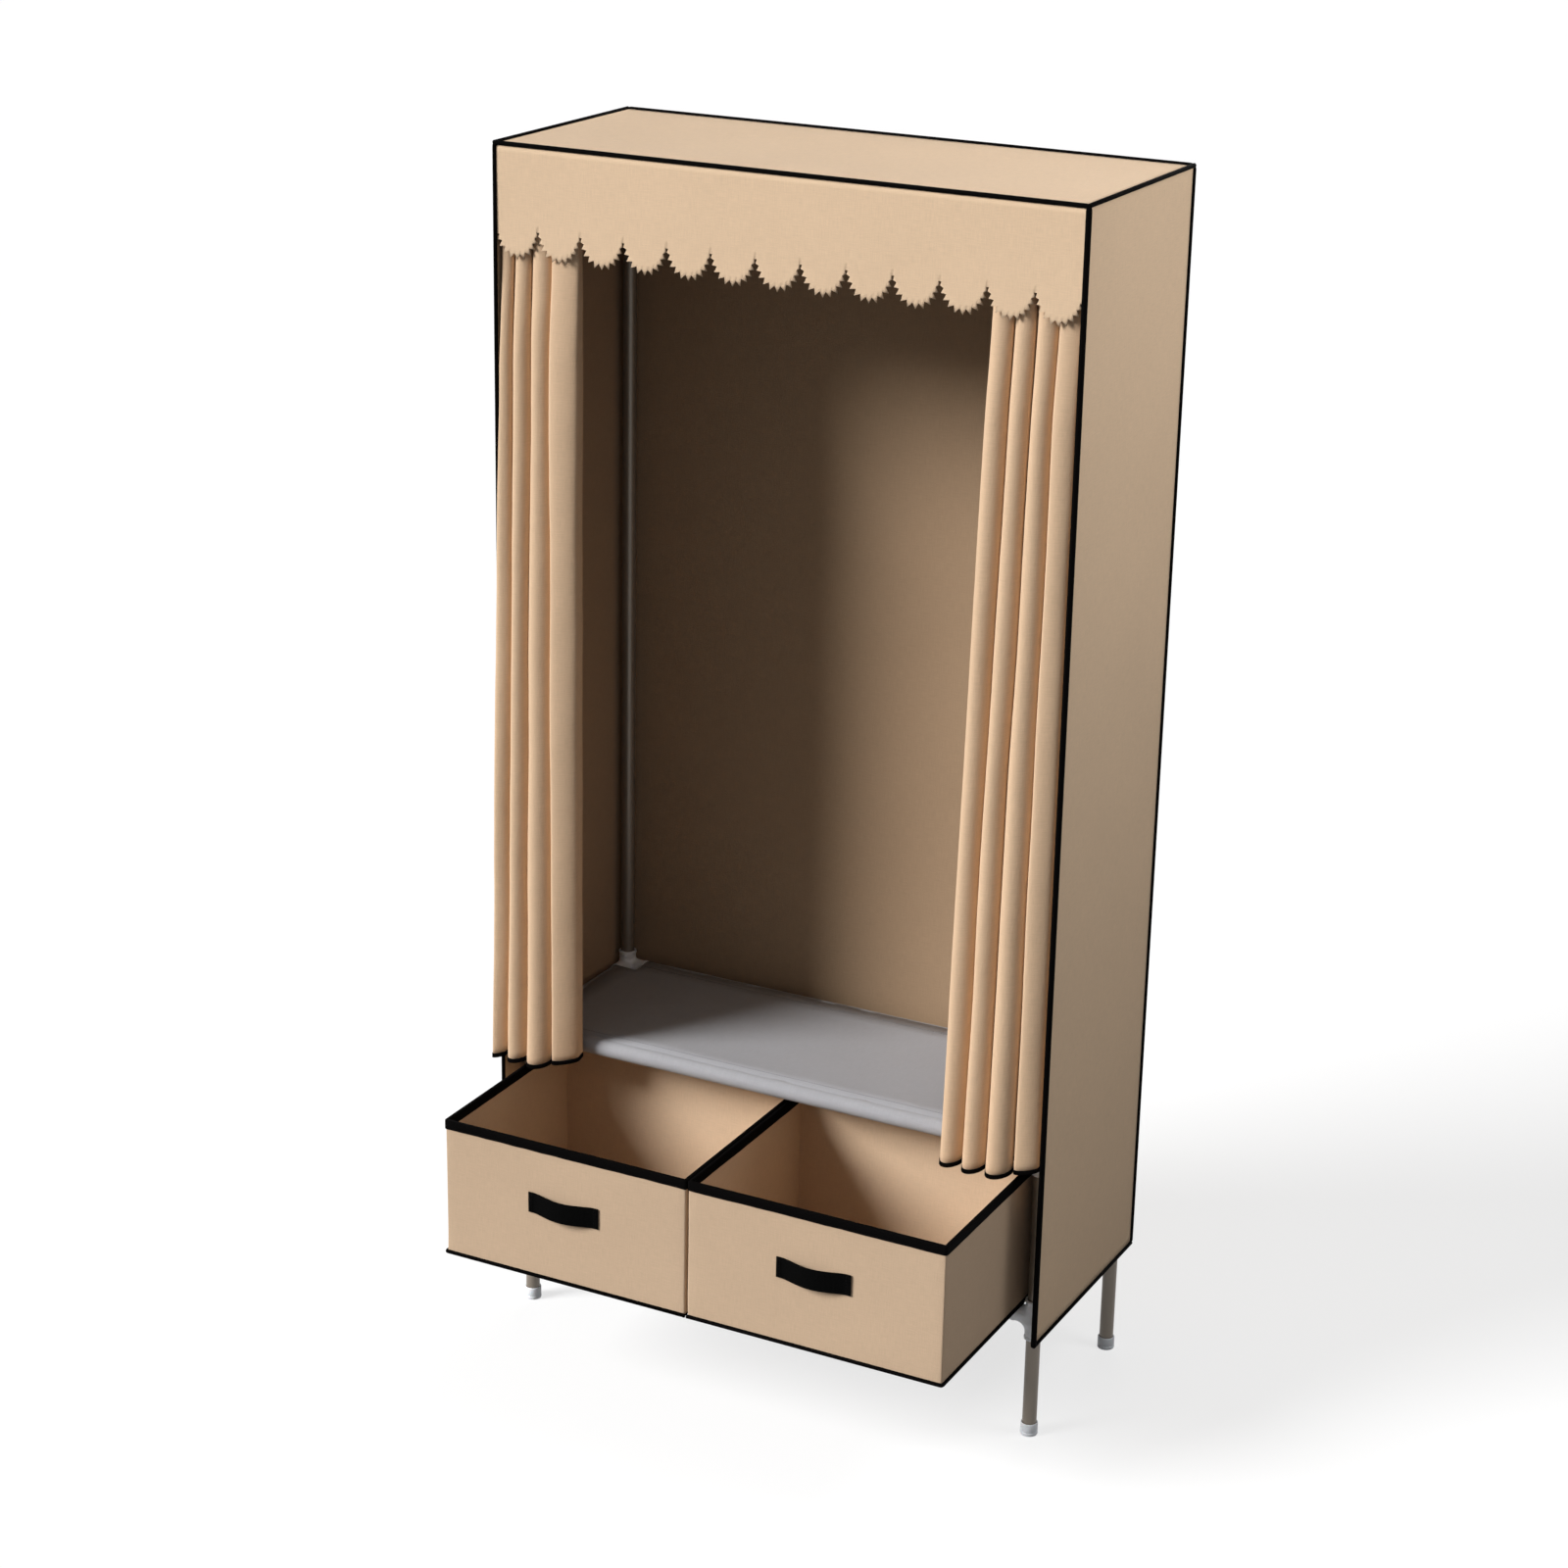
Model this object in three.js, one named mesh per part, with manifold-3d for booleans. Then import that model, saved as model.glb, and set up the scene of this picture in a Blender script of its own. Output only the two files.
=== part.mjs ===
// Portable fabric wardrobe: a tube frame, a sewn cover, two gathered curtains, a shelf and two drawers.
// Millimetres. +Z is up, the open front faces -Y, and +X is on the right as seen from the front.
// The drawers stand pulled out and the curtains are gathered at the sides.
import * as THREE from 'three';
import { mergeVertices } from 'three/addons/utils/BufferGeometryUtils.js';
import Module from 'manifold-3d';

const wasm = await Module();
wasm.setup();

// Clearances
const touchGap = 0.3;
const overrun = 5;

// Cover, measured between the centres of its piping
const coverWidth = 833;
const coverDepth = 345;
const wardrobeHeight = 1700;
const coverBottom = 161;
const panelThickness = 1.6;
const pipingRadius = 2.5;

// Valance
const scallopCount = 13;
const valanceDrop = 148;
const notchDrop = 111;

// Tubes, and the sleeves of the connectors that they are pushed into
const tubeRadius = 10;
const tubeWall = 0.9;
const socketClearance = 0.3;
const sleeveWall = 2.2;
const sideInset = 18.5;
const frontInset = 44.5;
const rearInset = 24.5;
const baseRailZ = 181;
const shelfRailZ = 428;
const armLength = 32;
const tubeEndGap = 2;
const teeBelow = 34;
const teeAbove = 26;
const cornerBelow = 44;

// Foot caps
const capRadius = 12.3;
const capHeight = 18.5;
const capFloor = 3;

// Hanging rail and its brackets
const hangingDrop = 39;
const bracketLength = 28;
const bracketWeb = 12;
const bossLength = 30;
const bossBack = 6;
const bossFloor = 8;

// Curtain rod, and the ears on the front corners that hold its ends
const rodRadius = 4.5;
const rodForward = 30;
const rodDrop = 12;
const earThickness = 6;
const earBelow = 12;
const earSocketDepth = 4;

// Shelf and base fabric
const clothWall = 2.2;
const clothEndGap = 1;

// Drawers, and their clearances to the tees, to each other, to the cover and to the shelf
const drawerSideClearance = 5.5;
const drawerSplit = 1;
const drawerFrontInset = 12.5;
const drawerBackClearance = 7.5;
const drawerTopClearance = 17.7;
const drawerPulledOut = 227;
const drawerCornerRadius = 5;
const wallThickness = 3;
const floorThickness = 2;
const tapeThickness = 1;
const tapeReach = 12;
const boardThickness = 3;
const boardClearance = 1;

// Webbing handles
const handleLength = 109;
const handleHeight = 30;
const handleThickness = 2;
const handleBow = 12;
const handleSewnLength = 12;
const handleRise = 113;

// Curtains
const curtainFoldCount = 4;
const gatheredWidth = { left: 106, right: 110 };
const leadingFoldRadius = { left: 18, right: 16 };
const foldBulge = 11.5;
const valleyRadius = 2.4;
const curtainThickness = 1.6;
const curtainBottom = 403;
const curtainBackInset = 26.5;
const foldDepthTop = 5;
const foldDepthBottom = 27.2;
const curtainFlare = 8.5;
const leadingLean = { left: 0, right: 19 };
const headingRadius = 8;
const rodPocketClearance = 0.5;
const headingOverlap = 2;
const curtainEndGap = 0.5;

// Facets
const tubeSides = 12;
const cornerSteps = 3;
const scallopSteps = 6;
const bowSteps = 12;
const foldSteps = 6;
const valleySteps = 4;
const curtainLevels = 4;

// Places that follow from the sizes above
const sleeveRadius = tubeRadius + socketClearance + sleeveWall;
const socketRadius = tubeRadius + socketClearance;
const coverX = coverWidth / 2;
const coverY = coverDepth / 2;
const coverTopZ = wardrobeHeight - pipingRadius;
const panelEdge = pipingRadius + touchGap;
const postX = coverX - sideInset;
const frontY = frontInset - coverY;
const rearY = coverY - rearInset;
const topRailZ = coverTopZ - panelThickness / 2 - touchGap - sleeveRadius;
const railStart = tubeRadius + tubeEndGap;
const hangingZ = topRailZ - hangingDrop;
const hangingY = (frontY + rearY) / 2;
const rodY = frontY - rodForward;
const rodZ = topRailZ - rodDrop;
const earInnerX = postX + sleeveRadius - earThickness;
const drawerOuterX = postX - sleeveRadius - drawerSideClearance;
const drawerDepth = coverDepth - drawerFrontInset - drawerBackClearance;
const drawerFrontY = drawerFrontInset - coverY - drawerPulledOut;
const drawerBottom = baseRailZ + sleeveRadius + touchGap;
const drawerRimZ = shelfRailZ - sleeveRadius - drawerTopClearance;
const tapeInset = tapeThickness + touchGap;
const handleReach = drawerFrontY + tapeInset - touchGap - handleBow - handleThickness;
const middleY = (handleReach + coverY + pipingRadius) / 2;

const sides = { left: -1, right: 1 };
const ends = { front: frontY, rear: rearY };

const finish = {
  cover: new THREE.MeshStandardMaterial({ color: 0xddc0a0, roughness: 0.9, metalness: 0 }),
  drawer: new THREE.MeshStandardMaterial({ color: 0xc8ad8f, roughness: 0.9, metalness: 0 }),
  shelf: new THREE.MeshStandardMaterial({ color: 0x97979b, roughness: 0.9, metalness: 0 }),
  trim: new THREE.MeshStandardMaterial({ color: 0x141210, roughness: 0.8, metalness: 0 }),
  board: new THREE.MeshStandardMaterial({ color: 0x8a6f55, roughness: 0.9, metalness: 0 }),
  tube: new THREE.MeshStandardMaterial({ color: 0x7d7367, roughness: 0.4, metalness: 0.4 }),
  plastic: new THREE.MeshStandardMaterial({ color: 0xe6eaee, roughness: 0.45, metalness: 0 }),
};

const wardrobe = new THREE.Group();
wardrobe.position.y = -middleY;

function place(name, geometry, material) {
  const mesh = new THREE.Mesh(geometry, material);
  mesh.name = name;
  wardrobe.add(mesh);
}

// The directions of an outline's two coordinates and of its extrusion, for each axis
const bases = {
  x: [new THREE.Vector3(0, 1, 0), new THREE.Vector3(0, 0, 1), new THREE.Vector3(1, 0, 0)],
  y: [new THREE.Vector3(1, 0, 0), new THREE.Vector3(0, 0, 1), new THREE.Vector3(0, -1, 0)],
  z: [new THREE.Vector3(1, 0, 0), new THREE.Vector3(0, 1, 0), new THREE.Vector3(0, 0, 1)],
};

// Extrudes an outline along an axis between two places on it, given in either order.
// The outline is drawn in (y, z) for axis x, in (x, z) for axis y and in (x, y) for axis z.
function prism(outline, axis, one, other) {
  const low = Math.min(one, other);
  const high = Math.max(one, other);
  const geometry = new THREE.ExtrudeGeometry(outline, { depth: high - low, bevelEnabled: false });
  const [u, v, w] = bases[axis];
  const frame = new THREE.Matrix4().makeBasis(u, v, w);
  frame.setPosition(w.clone().multiplyScalar(axis === 'y' ? -high : low));
  return geometry.applyMatrix4(frame);
}

// A polygon whose flats lie at the radius, with flats towards both coordinates' directions
function polygon(radius, centreU, centreV, count) {
  const corner = radius / Math.cos(Math.PI / count);
  const points = [];
  for (let i = 0; i < count; i += 1) {
    const angle = ((i + 0.5) / count) * 2 * Math.PI;
    points.push(new THREE.Vector2(centreU + corner * Math.cos(angle), centreV + corner * Math.sin(angle)));
  }
  return points;
}

function rectangle(lowU, lowV, highU, highV) {
  return new THREE.Shape([
    new THREE.Vector2(lowU, lowV),
    new THREE.Vector2(highU, lowV),
    new THREE.Vector2(highU, highV),
    new THREE.Vector2(lowU, highV),
  ]);
}

// A rectangle whose four corners are rounded with a few facets each
function roundedRectangle(lowU, lowV, highU, highV, radius) {
  const centres = [
    [highU - radius, highV - radius],
    [lowU + radius, highV - radius],
    [lowU + radius, lowV + radius],
    [highU - radius, lowV + radius],
  ];
  const points = [];
  centres.forEach(([u, v], quarter) => {
    for (let i = 0; i <= cornerSteps; i += 1) {
      const angle = ((quarter + i / cornerSteps) * Math.PI) / 2;
      points.push(new THREE.Vector2(u + radius * Math.cos(angle), v + radius * Math.sin(angle)));
    }
  });
  return new THREE.Shape(points);
}

function rod(radius, axis, centreU, centreV, one, other) {
  return prism(new THREE.Shape(polygon(radius, centreU, centreV, tubeSides)), axis, one, other);
}

function tube(axis, centreU, centreV, one, other) {
  const outline = new THREE.Shape(polygon(tubeRadius, centreU, centreV, tubeSides));
  const bore = polygon(tubeRadius - tubeWall, centreU, centreV, tubeSides);
  outline.holes.push(new THREE.Path(bore));
  return prism(outline, axis, one, other);
}

function box(lowX, lowY, lowZ, highX, highY, highZ) {
  return prism(rectangle(Math.min(lowX, highX), lowY, Math.max(lowX, highX), highY), 'z', lowZ, highZ);
}

function solidOf(geometry) {
  const bare = geometry.clone();
  bare.deleteAttribute('normal');
  bare.deleteAttribute('uv');
  const merged = mergeVertices(bare);
  const mesh = new wasm.Mesh({
    numProp: 3,
    vertProperties: merged.attributes.position.array,
    triVerts: Uint32Array.from(merged.index.array),
  });
  return new wasm.Manifold(mesh);
}

// Joins the first list of geometries and cuts the second list away
function shaped(joined, cut = []) {
  let solid = joined.map(solidOf).reduce((whole, next) => whole.add(next));
  for (const geometry of cut) {
    solid = solid.subtract(solidOf(geometry));
  }
  const mesh = solid.getMesh();
  const geometry = new THREE.BufferGeometry();
  geometry.setAttribute('position', new THREE.BufferAttribute(mesh.vertProperties, 3));
  geometry.setIndex(new THREE.BufferAttribute(mesh.triVerts, 1));
  geometry.computeVertexNormals();
  return geometry;
}

// A cup of plastic closed at the floor, with the post's end inside
function footCap(x, y) {
  return shaped(
    [rod(capRadius, 'z', x, y, 0, capHeight)],
    [rod(socketRadius, 'z', x, y, capFloor, capHeight + overrun)],
  );
}

// The two arms of a connector, one along X and one along Y, both towards the wardrobe's middle
function arms(radius, side, end, z, start) {
  const x = side * postX;
  const inward = -Math.sign(end - hangingY);
  return [
    rod(radius, 'x', end, z, x - side * start, x - side * (armLength + (start ? overrun : 0))),
    rod(radius, 'y', x, z, end + inward * start, end + inward * (armLength + (start ? overrun : 0))),
  ];
}

// A tee slides on the post and takes one rail along X and one along Y
function tee(side, end, railZ) {
  const x = side * postX;
  const low = railZ - teeBelow;
  const high = railZ + teeAbove;
  return shaped(
    [rod(sleeveRadius, 'z', x, end, low, high), ...arms(sleeveRadius, side, end, railZ, 0)],
    [
      rod(socketRadius, 'z', x, end, low - overrun, high + overrun),
      ...arms(socketRadius, side, end, railZ, railStart - touchGap),
    ],
  );
}

// A corner caps the post. The front ones have an ear that holds the curtain rod and the valance.
function topCorner(side, end) {
  const x = side * postX;
  const postTop = topRailZ - socketRadius - touchGap;
  const joined = [
    rod(sleeveRadius, 'z', x, end, topRailZ - cornerBelow, topRailZ + sleeveRadius),
    ...arms(sleeveRadius, side, end, topRailZ, 0),
  ];
  const cut = [
    rod(socketRadius, 'z', x, end, topRailZ - cornerBelow - overrun, postTop),
    ...arms(socketRadius, side, end, topRailZ, railStart - touchGap),
  ];
  if (end === frontY) {
    const frontFace = panelThickness / 2 + touchGap - coverY;
    const inner = side * earInnerX;
    const outer = side * (earInnerX + earThickness);
    joined.push(box(inner, frontFace, rodZ - earBelow, outer, end, topRailZ));
    const socketEnd = side * (earInnerX + earSocketDepth);
    cut.push(rod(rodRadius + touchGap, 'x', rodY, rodZ, inner - side * overrun, socketEnd));
  }
  return shaped(joined, cut);
}

// Hangs the rail below the side rail that its sleeve is pushed onto
function hangingBracket(side) {
  const x = side * postX;
  const half = bracketLength / 2;
  const mouth = x - side * (bossLength - bossBack);
  return shaped(
    [
      rod(sleeveRadius, 'y', x, topRailZ, hangingY - half, hangingY + half),
      box(x - bracketWeb / 2, hangingY - half, hangingZ, x + bracketWeb / 2, hangingY + half, topRailZ),
      rod(sleeveRadius, 'x', hangingY, hangingZ, mouth, x + side * bossBack),
    ],
    [
      rod(socketRadius, 'y', x, topRailZ, hangingY - half - overrun, hangingY + half + overrun),
      rod(socketRadius, 'x', hangingY, hangingZ, mouth - side * overrun, x + side * (bossBack - bossFloor)),
    ],
  );
}

// A deck of cloth with a sleeve round each of the four rails of one level
function clothDeck(railZ) {
  const outer = socketRadius + clothWall;
  const low = railZ + socketRadius;
  const frontBackX = postX - armLength - clothEndGap;
  const sideFrontY = frontY + armLength + clothEndGap;
  const sideRearY = rearY - armLength - clothEndGap;
  return shaped(
    [
      box(-frontBackX, frontY, low, frontBackX, rearY, low + clothWall),
      box(-postX, sideFrontY, low, postX, sideRearY, low + clothWall),
      rod(outer, 'x', frontY, railZ, -frontBackX, frontBackX),
      rod(outer, 'x', rearY, railZ, -frontBackX, frontBackX),
      rod(outer, 'y', -postX, railZ, sideFrontY, sideRearY),
      rod(outer, 'y', postX, railZ, sideFrontY, sideRearY),
    ],
    [
      rod(socketRadius, 'x', frontY, railZ, -coverX, coverX),
      rod(socketRadius, 'x', rearY, railZ, -coverX, coverX),
      rod(socketRadius, 'y', -postX, railZ, -coverY, coverY),
      rod(socketRadius, 'y', postX, railZ, -coverY, coverY),
    ],
  );
}

function frame() {
  const shelfPostEnd = shelfRailZ - touchGap / 2;
  const postTop = topRailZ - socketRadius - 2 * touchGap;
  for (const [sideName, side] of Object.entries(sides)) {
    const x = side * postX;
    for (const [endName, end] of Object.entries(ends)) {
      const corner = `${endName}_${sideName}`;
      place(`foot_cap_${corner}`, footCap(x, end), finish.plastic);
      place(`lower_post_${corner}`, tube('z', x, end, capFloor + touchGap, shelfPostEnd), finish.tube);
      place(`upper_post_${corner}`, tube('z', x, end, shelfPostEnd + touchGap, postTop), finish.tube);
      place(`base_tee_${corner}`, tee(side, end, baseRailZ), finish.plastic);
      place(`shelf_tee_${corner}`, tee(side, end, shelfRailZ), finish.plastic);
      place(`top_corner_${corner}`, topCorner(side, end), finish.plastic);
    }
    place(`hanging_bracket_${sideName}`, hangingBracket(side), finish.plastic);
  }
  for (const [level, z] of Object.entries({ base: baseRailZ, shelf: shelfRailZ, top: topRailZ })) {
    for (const [endName, end] of Object.entries(ends)) {
      place(`${level}_rail_${endName}`, tube('x', end, z, railStart - postX, postX - railStart), finish.tube);
    }
    for (const [sideName, side] of Object.entries(sides)) {
      const sideRail = tube('y', side * postX, z, frontY + railStart, rearY - railStart);
      place(`${level}_rail_${sideName}`, sideRail, finish.tube);
    }
  }
  const hangingEnd = postX + bossBack - bossFloor - touchGap;
  place('hanging_rail', tube('x', hangingY, hangingZ, -hangingEnd, hangingEnd), finish.tube);
  const rodEnd = earInnerX + earSocketDepth - touchGap;
  place('curtain_rod', rod(rodRadius, 'x', rodY, rodZ, -rodEnd, rodEnd), finish.tube);
  place('shelf_fabric', clothDeck(shelfRailZ), finish.shelf);
  place('base_fabric', clothDeck(baseRailZ), finish.shelf);
}

// Scallops hang between deep notches along the whole lower edge
function valanceOutline() {
  const half = coverX - panelEdge;
  const high = coverTopZ - panelEdge;
  const pitch = (2 * half) / scallopCount;
  const depth = valanceDrop - notchDrop;
  const points = [new THREE.Vector2(half, high), new THREE.Vector2(-half, high)];
  for (let scallop = 0; scallop < scallopCount; scallop += 1) {
    const centre = (scallop + 0.5) * pitch - half;
    for (let i = scallop ? 1 : 0; i <= scallopSteps; i += 1) {
      const share = (2 * i) / scallopSteps - 1;
      const x = centre + (share * pitch) / 2;
      points.push(new THREE.Vector2(x, coverTopZ - notchDrop - depth * (1 - share * share)));
    }
  }
  return new THREE.Shape(points);
}

// The piping runs along every edge of the cover but the open front's lower one
function piping() {
  const edge = (low, high) => box(...low.map((c) => c - pipingRadius), ...high.map((c) => c + pipingRadius));
  const bars = [
    edge([-coverX, -coverY, coverTopZ], [coverX, -coverY, coverTopZ]),
    edge([-coverX, coverY, coverTopZ], [coverX, coverY, coverTopZ]),
    edge([-coverX, coverY, coverBottom], [coverX, coverY, coverBottom]),
  ];
  for (const x of [-coverX, coverX]) {
    bars.push(edge([x, -coverY, coverTopZ], [x, coverY, coverTopZ]));
    bars.push(edge([x, -coverY, coverBottom], [x, coverY, coverBottom]));
    bars.push(edge([x, -coverY, coverBottom], [x, -coverY, coverTopZ]));
    bars.push(edge([x, coverY, coverBottom], [x, coverY, coverTopZ]));
  }
  return shaped(bars);
}

function cover() {
  const half = panelThickness / 2;
  const innerX = coverX - panelEdge;
  const innerY = coverY - panelEdge;
  const low = coverBottom + panelEdge;
  const high = coverTopZ - panelEdge;
  place('cover_top', box(-innerX, -innerY, coverTopZ - half, innerX, innerY, coverTopZ + half), finish.cover);
  place('cover_back', box(-innerX, coverY - half, low, innerX, coverY + half, high), finish.cover);
  for (const [sideName, side] of Object.entries(sides)) {
    const x = side * coverX;
    place(`cover_${sideName}`, box(x - half, -innerY, low, x + half, innerY, high), finish.cover);
  }
  place('valance', prism(valanceOutline(), 'y', -coverY - half, half - coverY), finish.cover);
  place('cover_piping', piping(), finish.trim);
}

// A strap whose sewn ends lie flat and whose middle bows forward, as an outline in (x, y)
function handleOutline(centreX, backY) {
  const half = handleLength / 2;
  const bowHalf = half - handleSewnLength;
  const back = [new THREE.Vector2(centreX - half, backY)];
  const front = [new THREE.Vector2(centreX - half, backY - handleThickness)];
  for (let i = 0; i <= bowSteps; i += 1) {
    const share = (2 * i) / bowSteps - 1;
    const bow = (handleBow * (1 + Math.cos(Math.PI * share))) / 2;
    back.push(new THREE.Vector2(centreX + share * bowHalf, backY - bow));
    front.push(new THREE.Vector2(centreX + share * bowHalf, backY - handleThickness - bow));
  }
  back.push(new THREE.Vector2(centreX + half, backY));
  front.push(new THREE.Vector2(centreX + half, backY - handleThickness));
  return new THREE.Shape([...front, ...back.reverse()]);
}

function drawer(sideName, side) {
  const nearX = (side * drawerSplit) / 2;
  const farX = side * drawerOuterX;
  const lowX = Math.min(nearX, farX);
  const highX = Math.max(nearX, farX);
  const backY = drawerFrontY + drawerDepth;
  const outline = (inset) =>
    roundedRectangle(
      lowX + inset,
      drawerFrontY + inset,
      highX - inset,
      backY - inset,
      Math.max(drawerCornerRadius - inset, tapeThickness),
    );
  const shellTop = drawerRimZ - tapeThickness - touchGap;
  const innerInset = tapeInset + wallThickness;
  const floorZ = drawerBottom + floorThickness;
  const shell = shaped(
    [prism(outline(tapeInset), 'z', drawerBottom, shellTop)],
    [prism(outline(innerInset), 'z', floorZ, drawerRimZ)],
  );
  const tapeLow = drawerRimZ - tapeReach;
  const tape = shaped(
    [prism(outline(0), 'z', tapeLow, drawerRimZ)],
    [
      shaped(
        [prism(outline(tapeThickness), 'z', tapeLow - overrun, drawerRimZ - tapeThickness)],
        [prism(outline(innerInset + touchGap), 'z', tapeLow - 2 * overrun, drawerRimZ)],
      ),
      prism(outline(innerInset + tapeInset), 'z', tapeLow - overrun, drawerRimZ + overrun),
    ],
  );
  const boardZ = floorZ + touchGap;
  const board = prism(outline(innerInset + boardClearance), 'z', boardZ, boardZ + boardThickness);
  const strap = handleOutline((nearX + farX) / 2, drawerFrontY + tapeInset - touchGap);
  const handleLow = drawerBottom + handleRise - handleHeight / 2;
  const handle = prism(strap, 'z', handleLow, handleLow + handleHeight);
  place(`drawer_shell_${sideName}`, shell, finish.drawer);
  place(`drawer_binding_${sideName}`, tape, finish.trim);
  place(`drawer_board_${sideName}`, board, finish.board);
  place(`drawer_handle_${sideName}`, handle, finish.trim);
}

// The centreline of folded cloth as points with normals, from folds counted from the outer edge.
// a runs inward from the first leg and b forward from the middle of the valleys' ends.
function foldLine(firstFold, lastFold, foldPitch, leadingRadius, foldDepth) {
  const line = [];
  const arc = (centreA, centreB, radiusA, radiusB, from, to, steps, outward) => {
    for (let i = 0; i <= steps; i += 1) {
      const angle = from + ((to - from) * i) / steps;
      const across = Math.cos(angle);
      const forward = Math.sin(angle);
      line.push({
        place: new THREE.Vector2(centreA + radiusA * across, centreB + radiusB * forward),
        normal: new THREE.Vector2(radiusB * across, radiusA * forward).normalize().multiplyScalar(outward),
      });
    }
  };
  const valley = (centreA, from, to, steps) => {
    arc(centreA, 0, valleyRadius, valleyRadius, from, to, steps, -1);
  };
  for (let fold = firstFold; fold <= lastFold; fold += 1) {
    const leads = fold === curtainFoldCount - 1;
    const halfWidth = leads ? leadingRadius : foldPitch / 2 - valleyRadius;
    const start = fold * foldPitch;
    const end = start + 2 * halfWidth;
    if (fold > 0 && fold === firstFold) {
      valley(start - valleyRadius, -Math.PI / 2, 0, valleySteps / 2);
    } else if (fold === 0) {
      line.push({ place: new THREE.Vector2(0, 0), normal: new THREE.Vector2(-1, 0) });
    }
    arc(start + halfWidth, foldDepth, halfWidth, foldBulge, Math.PI, 0, foldSteps, 1);
    if (fold < lastFold) {
      valley(end + valleyRadius, Math.PI, 2 * Math.PI, valleySteps);
    } else if (leads) {
      line.push({ place: new THREE.Vector2(end, 0), normal: new THREE.Vector2(1, 0) });
    } else {
      valley(end + valleyRadius, Math.PI, 1.5 * Math.PI, valleySteps / 2);
    }
  }
  return line;
}

// A closed skin through a stack of outlines that have the same number of points
function stack(outlines, levels) {
  const count = outlines[0].length;
  const positions = outlines.flatMap((outline, level) => outline.flatMap((p) => [p.x, p.y, levels[level]]));
  const index = [];
  for (let level = 0; level + 1 < outlines.length; level += 1) {
    for (let i = 0; i < count; i += 1) {
      const next = (i + 1) % count;
      const low = level * count;
      const high = low + count;
      index.push(low + i, low + next, high + next, low + i, high + next, high + i);
    }
  }
  const last = (outlines.length - 1) * count;
  for (const [a, b, c] of THREE.ShapeUtils.triangulateShape(outlines[0], [])) {
    index.push(c, b, a);
    index.push(last + a, last + b, last + c);
  }
  const geometry = new THREE.BufferGeometry();
  geometry.setAttribute('position', new THREE.Float32BufferAttribute(positions, 3));
  geometry.setIndex(index);
  return geometry;
}

// Folds first to last of one curtain, with the rod pocket that they hang by.
// Towards the bottom the folds get deeper, the outer ones wider, and the leading one may lean inward.
function curtainFolds(sideName, firstFold, lastFold) {
  const side = sides[sideName];
  const lean = leadingLean[sideName];
  const half = curtainThickness / 2;
  const outerX = earInnerX - curtainEndGap;
  const leadingRadius = leadingFoldRadius[sideName];
  const foldPitch = (gatheredWidth[sideName] - 2 * leadingRadius) / (curtainFoldCount - 1);
  const splitA = (curtainFoldCount - 1) * foldPitch - valleyRadius;
  const splitX = outerX - half - splitA;
  const backB = coverY - curtainBackInset;
  const top = rodZ - headingOverlap;
  const levels = [];
  const outlines = [];
  const gap = touchGap / 2;
  for (let level = 0; level <= curtainLevels; level += 1) {
    const share = level / curtainLevels;
    const fall = 1 - share;
    const spread = 1 + (fall * (curtainFlare + lean)) / splitA;
    const foldDepth = foldDepthTop + (foldDepthBottom - foldDepthTop) * fall;
    const line = foldLine(firstFold, lastFold, foldPitch, leadingRadius, foldDepth);
    const spreadOut = (a) => Math.min(splitA - (splitA - a) * spread, splitA - gap);
    const point = ({ place: at, normal }, offset) => {
      const inward = at.x + normal.x * offset;
      const a = inward < splitA ? spreadOut(inward) : Math.max(inward, splitA + gap);
      const b = at.y + normal.y * offset + valleyRadius + half;
      return new THREE.Vector2(side * (splitX + splitA - a - fall * lean), -backB - b);
    };
    const outline = [...line.map((p) => point(p, half)), ...line.map((p) => point(p, -half)).reverse()];
    outlines.push(THREE.ShapeUtils.isClockWise(outline) ? outline.reverse() : outline);
    levels.push(curtainBottom + (top - curtainBottom) * share);
  }
  const xs = outlines[outlines.length - 1].map((p) => p.x);
  const lowX = Math.min(...xs);
  const highX = Math.max(...xs);
  return shaped(
    [stack(outlines, levels), rod(headingRadius, 'x', rodY, rodZ, lowX, highX)],
    [rod(rodRadius + rodPocketClearance, 'x', rodY, rodZ, lowX - overrun, highX + overrun)],
  );
}

frame();
cover();
for (const [sideName, side] of Object.entries(sides)) {
  drawer(sideName, side);
  place(`curtain_${sideName}`, curtainFolds(sideName, 0, curtainFoldCount - 2), finish.cover);
  const leading = curtainFolds(sideName, curtainFoldCount - 1, curtainFoldCount - 1);
  place(`curtain_edge_${sideName}`, leading, finish.cover);
}

export default wardrobe;
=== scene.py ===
# Portable fabric wardrobe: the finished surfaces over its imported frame.
# Metres. +Z is up, the open front faces -Y, and +X is on the right as seen from the front.
import itertools
import math

import bmesh
import bpy
import numpy as np
from mathutils import Matrix, Vector


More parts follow.
